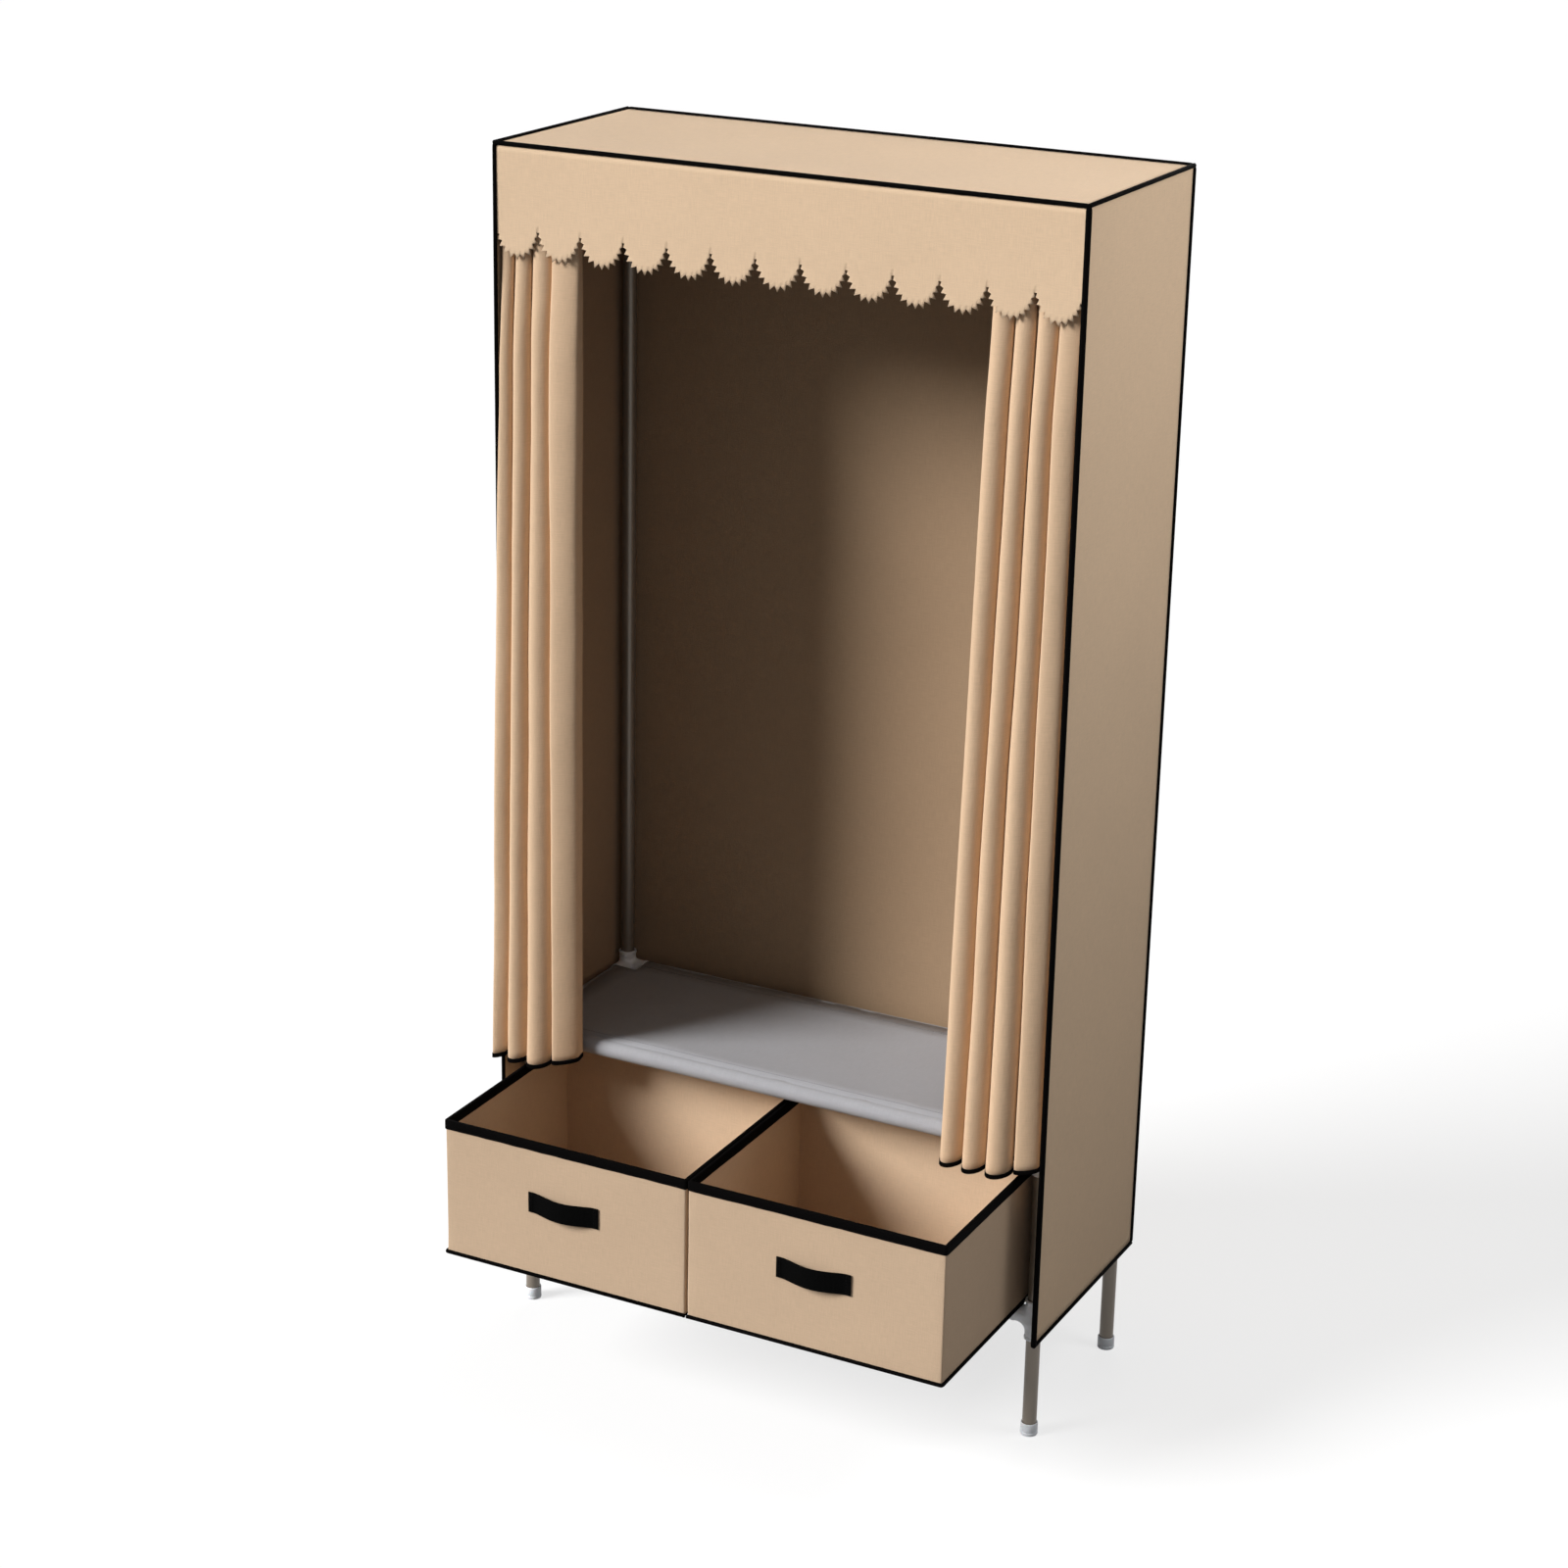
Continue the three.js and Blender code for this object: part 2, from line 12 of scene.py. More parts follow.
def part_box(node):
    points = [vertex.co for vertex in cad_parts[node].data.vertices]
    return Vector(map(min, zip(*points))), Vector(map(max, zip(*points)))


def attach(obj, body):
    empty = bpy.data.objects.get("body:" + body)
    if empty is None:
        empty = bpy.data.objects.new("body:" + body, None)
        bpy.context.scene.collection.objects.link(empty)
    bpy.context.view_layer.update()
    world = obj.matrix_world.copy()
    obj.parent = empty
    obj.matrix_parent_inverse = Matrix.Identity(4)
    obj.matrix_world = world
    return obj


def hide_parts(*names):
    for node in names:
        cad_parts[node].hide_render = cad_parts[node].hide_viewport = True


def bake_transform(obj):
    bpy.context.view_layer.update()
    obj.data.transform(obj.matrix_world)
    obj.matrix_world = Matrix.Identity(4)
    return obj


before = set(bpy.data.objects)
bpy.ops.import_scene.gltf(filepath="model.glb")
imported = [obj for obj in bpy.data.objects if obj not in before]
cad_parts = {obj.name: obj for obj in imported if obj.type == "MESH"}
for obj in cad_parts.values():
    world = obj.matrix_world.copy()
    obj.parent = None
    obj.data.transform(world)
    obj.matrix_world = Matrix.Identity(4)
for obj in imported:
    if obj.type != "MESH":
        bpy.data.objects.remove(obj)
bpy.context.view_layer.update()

SIDES = {"left": -1, "right": 1}
ENDS = ("front", "rear")

# Camera, solved from the cover's corners, the feet and the drawers in the photograph
PHOTO_PIXELS = 1600
FOCAL_PIXELS = 3489
SENSOR_WIDTH = 36
CAMERA_PLACE = (1.961, -3.847, 2.424)
CAMERA_AZIMUTH = math.radians(27.10)
CAMERA_ELEVATION = math.radians(19.79)
CAMERA_ROLL = math.radians(1.14)
CAMERA_REACH = 100

# Light: each sun's name, direction, strength on a surface that faces it and width in degrees
SUNS = (
    ("key", (-0.60, -0.62, 0.50), 1.38, 26),
    ("back", (-0.3, 0.94, 0.02), 0.46, 40),
)
AMBIENT = 0.175

# Lamp that lights the upper part of the right side panel
SIDE_PLACE = (1.5, 0.3, 1.95)
SIDE_AIM = (0.42, 0.15, 1.2)
SIDE_SIZE = 0.7
SIDE_POWER = 9.0

# Floor: its grey for the light that it throws back, and the grey and the glow that the camera sees
FLOOR_SIZE = 80
FLOOR_ROUGHNESS = 0.95
FLOOR_COLOUR = 0.24
FLOOR_SHADE = 0.34
FLOOR_GLOW = 0.7

# Fineness: points in a bend and in a round corner, the step along straight sides, and how near
# to each other two points count as one
BEND_POINTS = 7
CORNER_POINTS = 6
LOOP_STEP = 0.012
SAME_PLACE = 1e-6

# Edges that turn by more degrees than this stay sharp
CRISP_HARD = 35
CRISP_CLOTH = 50
CRISP_TAPE = 60

# Random waves: how many make a ripple, and the seed of each place. Below, a RIPPLE or WANDER is a
# height with the shortest and the longest wave, STRETCH is how much closer the waves lie, and
# FREEDOM the power of a held sheet's looseness.
RIPPLE_WAVES = 7
SEEDS = {
    "cover_right": 3, "cover_left": 4, "cover_back": 5, "cover_top": 6, "valance": 11,
    "curtain_left": 21, "curtain_left_depth": 24, "curtain_left_surface": 30,
    "curtain_right": 52, "curtain_right_depth": 55, "curtain_right_surface": 61,
    "deck": 31, "sleeve": 33,
    "drawer_left": 41, "drawer_left_binding": 46, "drawer_right": 43, "drawer_right_binding": 48,
}

# Cover
CLOTH_THICKNESS = 0.0012
PIPING_RADIUS = 0.003
PIPING_SIDES = 16
PIPING_STANDOFF = 0.0008
PIPING_CORNER = 0.006
FRONT_EDGE_SCALES = (0.9, 1.3)
PANEL_STEP = 0.012
PANEL_RIPPLE = (0.0011, 0.25, 0.9)
PANEL_FREEDOM = 0.8
TOP_SAG = 0.003
TOP_HELD_EDGE = 0.058

# Valance
SCALLOPS = 13
SCALLOP_DEPTH = 0.0305
SCALLOP_POWER = 2.5
SCALLOP_POINTS = 4001
SCALLOP_ROWS = 6
NOTCH_DROP = 0.111
NOTCH_HALF = 0.0022
TEETH = 11
TOOTH_DEPTH = 0.0078
FIRST_TOOTH = 0.4
FULL_TOOTH_FROM = 0.022
VALANCE_ROWS = 11
VALANCE_HELD = 0.1
VALANCE_RIPPLE = (0.0008, 0.12, 0.5)
VALANCE_STRETCH = 0.4

# Curtains. Each list goes from the outer edge to the leading one: how far from the middle the
# folds meet at the top and at the hem, how far each fold comes forward at the hem as a share of
# the deepest, how far it bulges at most, how much further forward its inner side stands, and how
# much higher its hem is. OUTER_BILLOW is how far the outer fold widens in front of the cover.
MEETINGS_TOP = {
    "left": (0.4120, 0.3935, 0.3680, 0.3375, 0.2985),
    "right": (0.4110, 0.3810, 0.3520, 0.3230, 0.2935),
}
MEETINGS_BOTTOM = {
    "left": (0.4130, 0.4035, 0.3730, 0.3345, 0.3000),
    "right": (0.4070, 0.3760, 0.3375, 0.3045, 0.2740),
}
FOLD_SHARES = {"left": (0.86, 1.0, 1.0, 0.48), "right": (0.40, 1.0, 1.0, 0.92)}
FOLD_BULGES = {"left": (0.0165, 0.0165, 0.0165, 0.005), "right": (0.005, 0.0165, 0.0165, 0.0165)}
FOLD_TURNS = {"left": (-0.010, -0.011, -0.012, -0.018), "right": (0.014, 0.012, 0.011, 0.011)}
HEM_RISES = {"left": (0.0, 0.0, 0.0, 0.004), "right": (0.004, 0.0, 0.0, 0.0)}
OUTER_BILLOW = {"left": 0.0125, "right": 0.0}
CURTAIN_THICKNESS = 0.0011

# A fold: how far it comes forward, how round it may be for its width and depth, how much of its
# turn is left at the top, the rounding, lean and lift of the valleys between folds, and where in
# front of the cover the outer fold starts to widen
FOLD_REACH = 0.0115
FOLD_ROUNDNESS = 0.95
FOLD_DEPTH_TOP = 0.009
FOLD_DEPTH_BOTTOM = 0.030
FLANK_SHARES = (0, 0.25, 0.5, 0.75)
CREST_POINTS = 21
BULGE_SHARE = 0.85
TURN_AT_TOP = 0.4
VALLEY_RADIUS = 0.0028
VALLEY_POINTS = 7
VALLEY_LEAN = 0.42
VALLEY_RISE = 0.012
LEAN_ROOM = 0.4
BILLOW_FROM = 0.003
BILLOW_OVER = 0.008

# Heights on a curtain as shares of its drop: its rows, as first, last and count, and from where
# and over how much of the drop it is pulled in under the valance and gathered at the rod
HANGING_ROWS = (0, 0.95, 80)
GATHERED_ROWS = (0.955, 1, 10)
PULLED_FROM = 0.80
PULLED_OVER = 0.12
PULLED_IN = 0.25
GATHERED_FROM = 0.945
GATHERED_OVER = 0.04
GATHERED_SHARE = 0.22

# Heading round the rod, with its turns in degrees as first, last and count, and the hem.
HEADING_RADIUS = 0.0078
HEADING_SPREAD = 0.8
HEADING_TURNS = (10, 200, 14)
HEADING_TAIL = 0.020
HEM_HEIGHT = 0.0056
HEM_BELOW = 0.0006
HEM_ROWS = 4
HEM_THICKNESS = 0.0028

# The folds' unevenness, which FOLD_SPACING makes more or less alike in neighbouring folds
FOLD_SPACING = 0.4
FOLD_WANDER = (0.0013, 0.3, 0.9)
EDGE_SHARE = 0.4
DEPTH_WANDER = (0.05, 0.3, 0.8)
CURTAIN_RIPPLE = (0.0004, 0.05, 0.3)
CURTAIN_STRETCH = (2, 1.3)

# Drawers. WALL_HOLD is how fast the walls' ripple grows away from their held edges, and
# PIPING_ROOM how far the piping passes the wall that faces the other drawer
WALL_THICKNESS = 0.003
WALL_BASE = 0.0012
WALL_INSET = 0.0003
WALL_ROWS = 18
WALL_RIPPLE = (0.0006, 0.15, 0.6)
WALL_HOLD = 6
DRAWER_CORNER = 0.003
BINDING_REACH = 0.0135
BINDING_THICKNESS = 0.0013
BINDING_CORNER = 0.004
BINDING_LIP = 0.0002
BINDING_SEAM = 0.0022
BINDING_RIPPLE = (0.0004, 0.03, 0.11)
BOTTOM_PIPING = 0.0028
BOTTOM_SIDES = 10
BOTTOM_STANDOFF = 0.0004
PIPING_ROOM = 0.0003
BOARD_CORNER = 0.004
BOARD_ROWS = 7
STRAP_THICKNESS = 0.002
STRAP_EDGE = 0.0006
STRAP_SEWN = 0.008
STRAP_SEAM = 0.002
STRAP_BOW = 0.85
STRAP_FULLNESS = 0.66
STRAP_POINTS = 61

# Shelf and base cloth
DECK_CORNER = 0.033
DECK_SAG = 0.004
DECK_FREEDOM = 0.5
DECK_RIPPLE = (0.0008, 0.1, 0.4)
DECK_POINTS = (61, 19)
DECK_SEAM = 0.017
SEAM_POINTS = 40
SLEEVE_CLOTH = 0.0015
SLEEVE_ROWS = 50
SLEEVE_POINTS = 32
SLEEVE_RIPPLE = (0.0003, 0.03, 0.12)
SLEEVE_STRETCH = 0.02

# Frame. MOULD_MARGINS are the cells before and after a moulded part
TUBE_WALL = 0.0009
TUBE_SIDES = 40
SOCKET_CLEARANCE = 0.0003
CAP_WALL = 0.0013
CAP_TREAD = 0.0045
CAP_EDGE = 0.0009
CAP_GROOVE = 0.0005
EAR_THICKNESS = 0.006
EAR_BELOW = 0.012
BRACKET_WEB = 0.012
BOSS_BACK = 0.006
COLLAR_RISE = 0.0008
COLLAR_LENGTH = 0.005
FILLET = 0.004
FILLET_BELOW = 0.013
MOULD_EDGE = 0.0012
BORE_EDGE = 0.0003
MOULD_CELL = 0.0011
MOULD_MARGINS = (2.5, 3.5)

# Threads. Each point of a stitch: its place as a share of half the length, how far it is lifted
# as a share of the radius, and its thickness
STITCH_PITCH = 0.0042
STITCH_LENGTH = 0.0028
STITCH_RADIUS = 0.00038
STITCH_SIDES = 6
STITCH_POINTS = ((-1, 0, 0.35), (-0.6, 0.7, 1), (0.6, 0.7, 1), (1, 0, 0.35))
STITCH_LIFT = 0.0001
STITCH_SINK = 0.0002


def low(node):
    return np.array(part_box(node)[0])


def high(node):
    return np.array(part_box(node)[1])


def middle(node):
    return (low(node) + high(node)) / 2


COVER_X = middle("cover_right")[0]
FRONT_Y = middle("valance")[1]
BACK_Y = middle("cover_back")[1]
TOP_Z = middle("cover_top")[2]
BOTTOM_Z = low("cover_piping")[2] + high("cover_piping")[0] - COVER_X
ROD = middle("curtain_rod")
ROD_RADIUS = (high("curtain_rod")[2] - low("curtain_rod")[2]) / 2
TUBE_RADIUS = (high("hanging_rail")[2] - low("hanging_rail")[2]) / 2
SLEEVE_RADIUS = high("base_tee_front_right")[0] - middle("lower_post_front_right")[0]
BORE = TUBE_RADIUS + SOCKET_CLEARANCE


def smooth(t):
    t = np.clip(t, 0, 1)
    return t * t * (3 - 2 * t)


def ripple(u, v, seed, waves):
    """Uneven smooth waves over a sheet, about as high as the first of the waves' three values."""
    height, shortest, longest = waves
    chance = np.random.default_rng(seed)
    total = np.zeros(np.broadcast(u, v).shape)
    for _ in range(RIPPLE_WAVES):
        turn = chance.uniform(0, math.pi)
        number = 2 * math.pi / chance.uniform(shortest, longest)
        total += np.sin(number * (u * math.cos(turn) + v * math.sin(turn)) + chance.uniform(0, 2 * math.pi))
    return height * (total / (RIPPLE_WAVES / 2))


def looseness(u, v, freedom):
    """From 0 along the edges of a sheet, which spans 0 to 1 both ways, to 1 in its middle."""
    u, v = np.clip(u, 0, 1), np.clip(v, 0, 1)
    return (16 * u * (1 - u) * v * (1 - v)) ** freedom


def other_axes(axis):
    """The two axes across this one."""
    return [i for i in range(3) if i != axis]


# Shapes
class Shape:
    """Vertices and faces that grow part by part, with lengths in metres as UVs."""

    def __init__(self):
        self.vertices = []
        self.faces = []
        self.uvs = []

    def face(self, corners, uvs=None):
        self.faces.append(list(corners))
        self.uvs.append([(0, 0)] * len(corners) if uvs is None else uvs)

    def add(self, vertices, faces=(), uvs=None):
        """Adds a part whose faces count its own vertices, and returns its first vertex's number."""
        start = len(self.vertices)
        self.vertices.extend(map(tuple, vertices))
        for number, corners in enumerate(faces):
            self.face([start + i for i in corners], uvs and uvs[number])
        return start

    def lattice(self, points, closed=False, plane=None):
        """Quads through rows of points. The columns close into rings if asked.

        UVs follow the surface, or are two of the coordinates for a flat sheet.
        """
        rows, columns = points.shape[:2]
        index = np.arange(rows * columns).reshape(rows, columns)
        if closed:
            index = np.hstack([index, index[:, :1]])
        spread = points.reshape(-1, 3)[index]
        across = np.linalg.norm(np.diff(spread, axis=1), axis=2).mean(0)
        along = np.linalg.norm(np.diff(spread, axis=0), axis=2).mean(1)
        uv = np.stack(np.meshgrid(np.append(0, across.cumsum()), np.append(0, along.cumsum())), -1)
        if plane:
            uv = spread[..., plane]

        def corners(grid):
            return np.stack([grid[:-1, :-1], grid[:-1, 1:], grid[1:, 1:], grid[1:, :-1]], 2)

        faces = corners(index).reshape(-1, 4).tolist()
        uvs = corners(uv).reshape(-1, 4, 2).tolist()
        return self.add(points.reshape(-1, 3), faces, uvs)

    def lathe(self, profile, axis, centre):
        """Turns (radius, place along the axis) pairs round an axis through a centre."""
        ring = circle(1, TUBE_SIDES)
        one, other = other_axes(axis)
        points = np.zeros((len(profile), TUBE_SIDES, 3))
        for row, (radius, along) in enumerate(profile):
            points[row, :, one] = centre[one] + radius * ring[:, 0]
            points[row, :, other] = centre[other] + radius * ring[:, 1]
            points[row, :, axis] = along
        self.lattice(points, closed=True)

    def sweep(self, path, section, up=(0, 0, 1), closed=False, scales=None):
        """Carries a closed section along a path, with the section's second coordinate kept near up."""
        path = np.asarray(path, float)
        if closed:
            tangents = np.roll(path, -1, 0) - np.roll(path, 1, 0)
        else:
            tangents = np.gradient(path, axis=0)
        tangents /= np.linalg.norm(tangents, axis=1)[:, None]
        across = np.cross(tangents, up)
        across /= np.linalg.norm(across, axis=1)[:, None]
        upward = np.cross(across, tangents)
        size = np.ones(len(path)) if scales is None else np.asarray(scales)
        points = (
            path[:, None]
            + across[:, None] * section[None, :, :1] * size[:, None, None]
            + upward[:, None] * section[None, :, 1:] * size[:, None, None]
        )
        if closed:
            points = np.concatenate([points, points[:1]])
        start = self.lattice(points, closed=True)
        if not closed:
            count = len(section)
            last = start + (len(path) - 1) * count
            self.face(range(start, start + count))
            self.face(range(last, last + count))


def circle(radius, sides):
    angles = np.arange(sides) / sides * 2 * math.pi
    return radius * np.stack([np.cos(angles), np.sin(angles)], 1)


def rounded_path(corners, radius, closed=False):
    """A polyline with its corners rounded, dense enough to sweep along."""
    corners = [np.asarray(c, float) for c in corners]
    count = len(corners)
    points = []
    for i, corner in enumerate(corners):
        if not closed and i in (0, count - 1):
            points.append(corner)
            continue
        before = corners[i - 1] - corner
        after = corners[(i + 1) % count] - corner
        start = corner + before / np.linalg.norm(before) * radius
        end = corner + after / np.linalg.norm(after) * radius
        for t in np.linspace(0, 1, BEND_POINTS):
            points.append((1 - t) ** 2 * start + 2 * t * (1 - t) * corner + t**2 * end)
    return np.array(points)


def distances(line):
    """How far along a line each of its points lies."""
    return np.append(0, np.linalg.norm(np.diff(line, axis=0), axis=1).cumsum())


def points_at(line, places):
    """The points of a line at given distances along it."""
    lengths = distances(line)
    return np.stack([np.interp(places, lengths, column) for column in line.T], 1)


def resampled(line, step):
    """The same line with points at even distances."""
    line = np.asarray(line, float)
    length = distances(line)[-1]
    return points_at(line, np.linspace(0, length, max(2, round(length / step) + 1)))


def plan_loop(lowest, highest, radius):
    """Points and outward normals round a rectangle with round corners, seen from above."""
    points, normals = [], []
    centres = [
        (highest[0] - radius, highest[1] - radius),
        (lowest[0] + radius, highest[1] - radius),
        (lowest[0] + radius, lowest[1] + radius),
        (highest[0] - radius, lowest[1] + radius),
    ]
    for quarter, centre in enumerate(centres):
        for turn in np.linspace(quarter, quarter + 1, CORNER_POINTS) * math.pi / 2:
            out = np.array([math.cos(turn), math.sin(turn)])
            points.append(np.array(centre) + radius * out)
            normals.append(out)
        following = np.array(centres[(quarter + 1) % 4]) + radius * out
        straight = following - points[-1]
        inner = int(np.linalg.norm(straight) / LOOP_STEP)
        for share in np.arange(1, inner) / inner:
            points.append(following - straight * (1 - share))
            normals.append(out)
    return np.array(points), np.array(normals)


def placed(name, data):
    """A new object in the scene."""
    obj = bpy.data.objects.new(name, data)
    bpy.context.scene.collection.objects.link(obj)
    return obj


def piece(name, shape, materials, slot, body="root", stands_for=(), crisp=None, **solidify):
    """Makes an object of a shape: a sheet where its thickness is given, and otherwise a closed solid.

    It rides on a body, unless that is None. Edges that turn by more degrees than crisp stay sharp.
    """
    mesh = bpy.data.meshes.new(name)
    mesh.from_pydata(shape.vertices, [], shape.faces)
    uv_layer = mesh.uv_layers.new(name="UVMap")
    uv_layer.data.foreach_set("uv", np.concatenate([np.array(u, np.float32).ravel() for u in shape.uvs]))
    edit = bmesh.new()
    edit.from_mesh(mesh)
    bmesh.ops.remove_doubles(edit, verts=edit.verts, dist=SAME_PLACE)
    if not solidify:
        bmesh.ops.recalc_face_normals(edit, faces=edit.faces)
    edit.to_mesh(mesh)
    edit.free()
    for material in materials:
        mesh.materials.append(material)
    mesh.shade_smooth()
    if crisp:
        mesh.set_sharp_from_angle(angle=math.radians(crisp))
    obj = placed(name, mesh)
    if solidify:
        thick = obj.modifiers.new("thickness", "SOLIDIFY")
        thick.use_even_offset = True
        for key, value in solidify.items():
            setattr(thick, key, value)
    if body:
        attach(obj, body)
    if stands_for:
        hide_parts(*stands_for)
    return obj


def stitch_row(shape, path, lift):
    """Short threads laid along a line, lifted off the cloth."""
    line = resampled(path, STITCH_PITCH)
    lift = np.asarray(lift, float)
    section = circle(STITCH_RADIUS, STITCH_SIDES)
    scales = [thickness for _, _, thickness in STITCH_POINTS]
    for start, end in zip(line[:-1], line[1:]):
        centre = (start + end) / 2
        half = (end - start) / np.linalg.norm(end - start) * STITCH_LENGTH / 2
        thread = [centre + half * along + lift * (STITCH_RADIUS * rise) for along, rise, _ in STITCH_POINTS]
        shape.sweep(thread, section, up=lift, scales=scales)


# Materials. NOISE_REACH and WEAVE_REACH are the ranges that a noise and a weave's height usually
# fill, and WEAVE_HEIGHT is a thread's height where it passes neither over nor under
NOISE_REACH = (0.3, 0.7)
WEAVE_REACH = (0.4, 1.6)
WEAVE_HEIGHT = 1.6


def srgb(red, green, blue):
    """A colour as read from 0 to 255, made linear."""

    def linear(c):
        c /= 255
        return c / 12.92 if c <= 0.04045 else ((c + 0.055) / 1.055) ** 2.4

    return (linear(red), linear(green), linear(blue), 1)


class Finish:
    """A material whose nodes are added one call at a time."""

    def __init__(self, name, looks):
        self.material = bpy.data.materials.new(name)
        self.material.use_nodes = True
        self.tree = self.material.node_tree
        self.shader = self.tree.nodes["Principled BSDF"]
        for key, value in looks.items():
            self.shader.inputs[key].default_value = value

    def feed(self, name, value):
        """Links a value to one of the shader's inputs."""
        self.tree.links.new(value, self.shader.inputs[name])

    def add(self, kind, inputs, output=0, **settings):
        node = self.tree.nodes.new("ShaderNode" + kind)
        for key, value in settings.items():
            setattr(node, key, value)
        for key, value in inputs.items():
            if isinstance(value, bpy.types.NodeSocket):
                self.tree.links.new(value, node.inputs[key])
            else:
                node.inputs[key].default_value = value
        return node.outputs[output]

    def math(self, operation, one, other=0.0):
        return self.add("Math", {0: one, 1: other}, operation=operation)

    def coordinates(self, kind):
        return self.add("TexCoord", {}, output=kind)

    def noise(self, vector, scale, detail=2.0):
        return self.add("TexNoise", {"Vector": vector, "Scale": scale, "Detail": detail})

    def streaks(self, vector, scales):
        """Noise with its own scale along each axis."""
        return self.noise(self.add("VectorMath", {0: vector, 1: scales}, operation="MULTIPLY"), 1.0)

    def ranged(self, value, low_out, high_out, reach=NOISE_REACH):
        """The value, moved from the range that it usually reaches to another."""
        ends = {"From Min": reach[0], "From Max": reach[1], "To Min": low_out, "To Max": high_out}
        return self.add("MapRange", {"Value": value, **ends})

    def tinted(self, colour, factors):
        """The colour times each factor."""
        shade = factors[0]
        for factor in factors[1:]:
            shade = self.math("MULTIPLY", shade, factor)
        inputs = {0: 1.0, 6: colour, 7: self.add("CombineColor", {0: shade, 1: shade, 2: shade})}
        self.feed("Base Color", self.add("Mix", inputs, output=2, data_type="RGBA", blend_type="MULTIPLY"))

    def bumped(self, height, distance):
        self.feed("Normal", self.add("Bump", {"Height": height, "Distance": distance, "Strength": 1.0}))

    def weave(self, uv, pitch):
        """The height of a plain weave, where threads of both directions pass over each other in turn."""
        parts = self.tree.nodes.new("ShaderNodeSeparateXYZ")
        self.tree.links.new(uv, parts.inputs[0])
        waves = [self.math("SINE", self.math("MULTIPLY", parts.outputs[i], math.pi / pitch)) for i in (0, 1)]
        over = self.math("MULTIPLY", *waves)
        warp = self.math("MULTIPLY", self.math("ABSOLUTE", waves[0]), self.math("ADD", over, WEAVE_HEIGHT))
        under = self.math("SUBTRACT", WEAVE_HEIGHT, over)
        weft = self.math("MULTIPLY", self.math("ABSOLUTE", waves[1]), under)
        return self.math("MAXIMUM", warp, weft)


def cloth(name, colour, pitch=0.0011):
    """Woven cloth with slubs along both threads and a faint mottle."""
    finish = Finish(name, {"Roughness": 0.9, "Sheen Weight": 0.05, "Specular IOR Level": 0.3})
    uv = finish.coordinates("UV")
    weave = finish.weave(uv, pitch)
    slub_width, slub_length = 1000, 55
    warp_slubs = finish.streaks(uv, (slub_width, slub_length, 1))
    weft_slubs = finish.streaks(uv, (slub_length, slub_width, 1))
    mottle = finish.noise(finish.coordinates("Object"), scale=7.0, detail=4.0)
    contrast, relief, slub_relief = 0.04, 0.00011, 1.5
    finish.tinted(
        colour,
        [
            finish.ranged(warp_slubs, 1 - contrast, 1 + contrast),
            finish.ranged(weft_slubs, 1 - contrast, 1 + contrast),
            finish.ranged(mottle, 0.985, 1.015),
            # The weave's height darkens the hollows between threads and lightens their crowns: painted shade
            # and painted light
            finish.ranged(weave, 1 - 2 * contrast, 1 + contrast, WEAVE_REACH),
        ],
    )
    slubs = finish.math("ADD", warp_slubs, weft_slubs)
    finish.bumped(finish.math("ADD", weave, finish.math("MULTIPLY", slubs, slub_relief)), relief)
    return finish.material


def webbing(name, colour, pitch, relief):
    """A close weave with fibres, for tapes, straps and threads."""
    finish = Finish(name, {"Roughness": 0.9, "Specular IOR Level": 0.03})
    uv = finish.coordinates("UV")
    weave = finish.weave(uv, pitch)
    fibres = finish.streaks(uv, (300, 1500, 1))
    # The weave's height darkens the hollows between threads and lightens their crowns: painted shade and
    # painted light; the fibres are a random tone
    finish.tinted(colour, [finish.ranged(weave, 0.7, 1.25, WEAVE_REACH), finish.ranged(fibres, 0.8, 1.2)])
    finish.bumped(finish.math("ADD", weave, fibres), relief)
    return finish.material


def painted_steel(name, colour):
    """Stoved paint over drawn tube: fine orange peel, with cloudy gloss and small specks."""
    finish = Finish(name, {"Metallic": 0.25, "Coat Weight": 0.15})
    place = finish.coordinates("Object")
    peel = finish.noise(place, scale=900.0)
    cloud = finish.noise(place, scale=14.0, detail=5.0)
    specks = finish.noise(place, scale=2600.0, detail=1.0)
    finish.tinted(colour, [finish.ranged(cloud, 0.94, 1.05), finish.ranged(specks, 0.93, 1.07)])
    finish.feed("Roughness", finish.ranged(cloud, 0.38, 0.47))
    finish.bumped(peel, 0.00006)
    return finish.material


def moulded_plastic(name, colour):
    """Plain injection moulding: a fine spark texture and faint flow shading."""
    finish = Finish(name, {"Subsurface Weight": 0.05, "Subsurface Scale": 0.004})
    place = finish.coordinates("Object")
    grain = finish.noise(place, scale=1800.0)
    flow = finish.noise(place, scale=30.0, detail=3.0)
    finish.tinted(colour, [finish.ranged(flow, 0.97, 1.02), finish.ranged(grain, 0.985, 1.01)])
    finish.feed("Roughness", finish.ranged(flow, 0.34, 0.46))
    finish.bumped(grain, 0.00003)
    return finish.material


COVER_CLOTH = cloth("cover_cloth", srgb(221, 192, 160))
# The curtains' cloth is the cover's cloth made darker: painted shade for the shaded folds
SHADE_DARKENED_CURTAIN_CLOTH = cloth("curtain_cloth", srgb(216, 184, 151))
# The drawers' cloth: partly its own darker tone, partly painted shade for the dimmer light low down on the
# drawers
DRAWER_TONE_AND_SHADE = cloth("drawer_cloth", srgb(198, 171, 143))
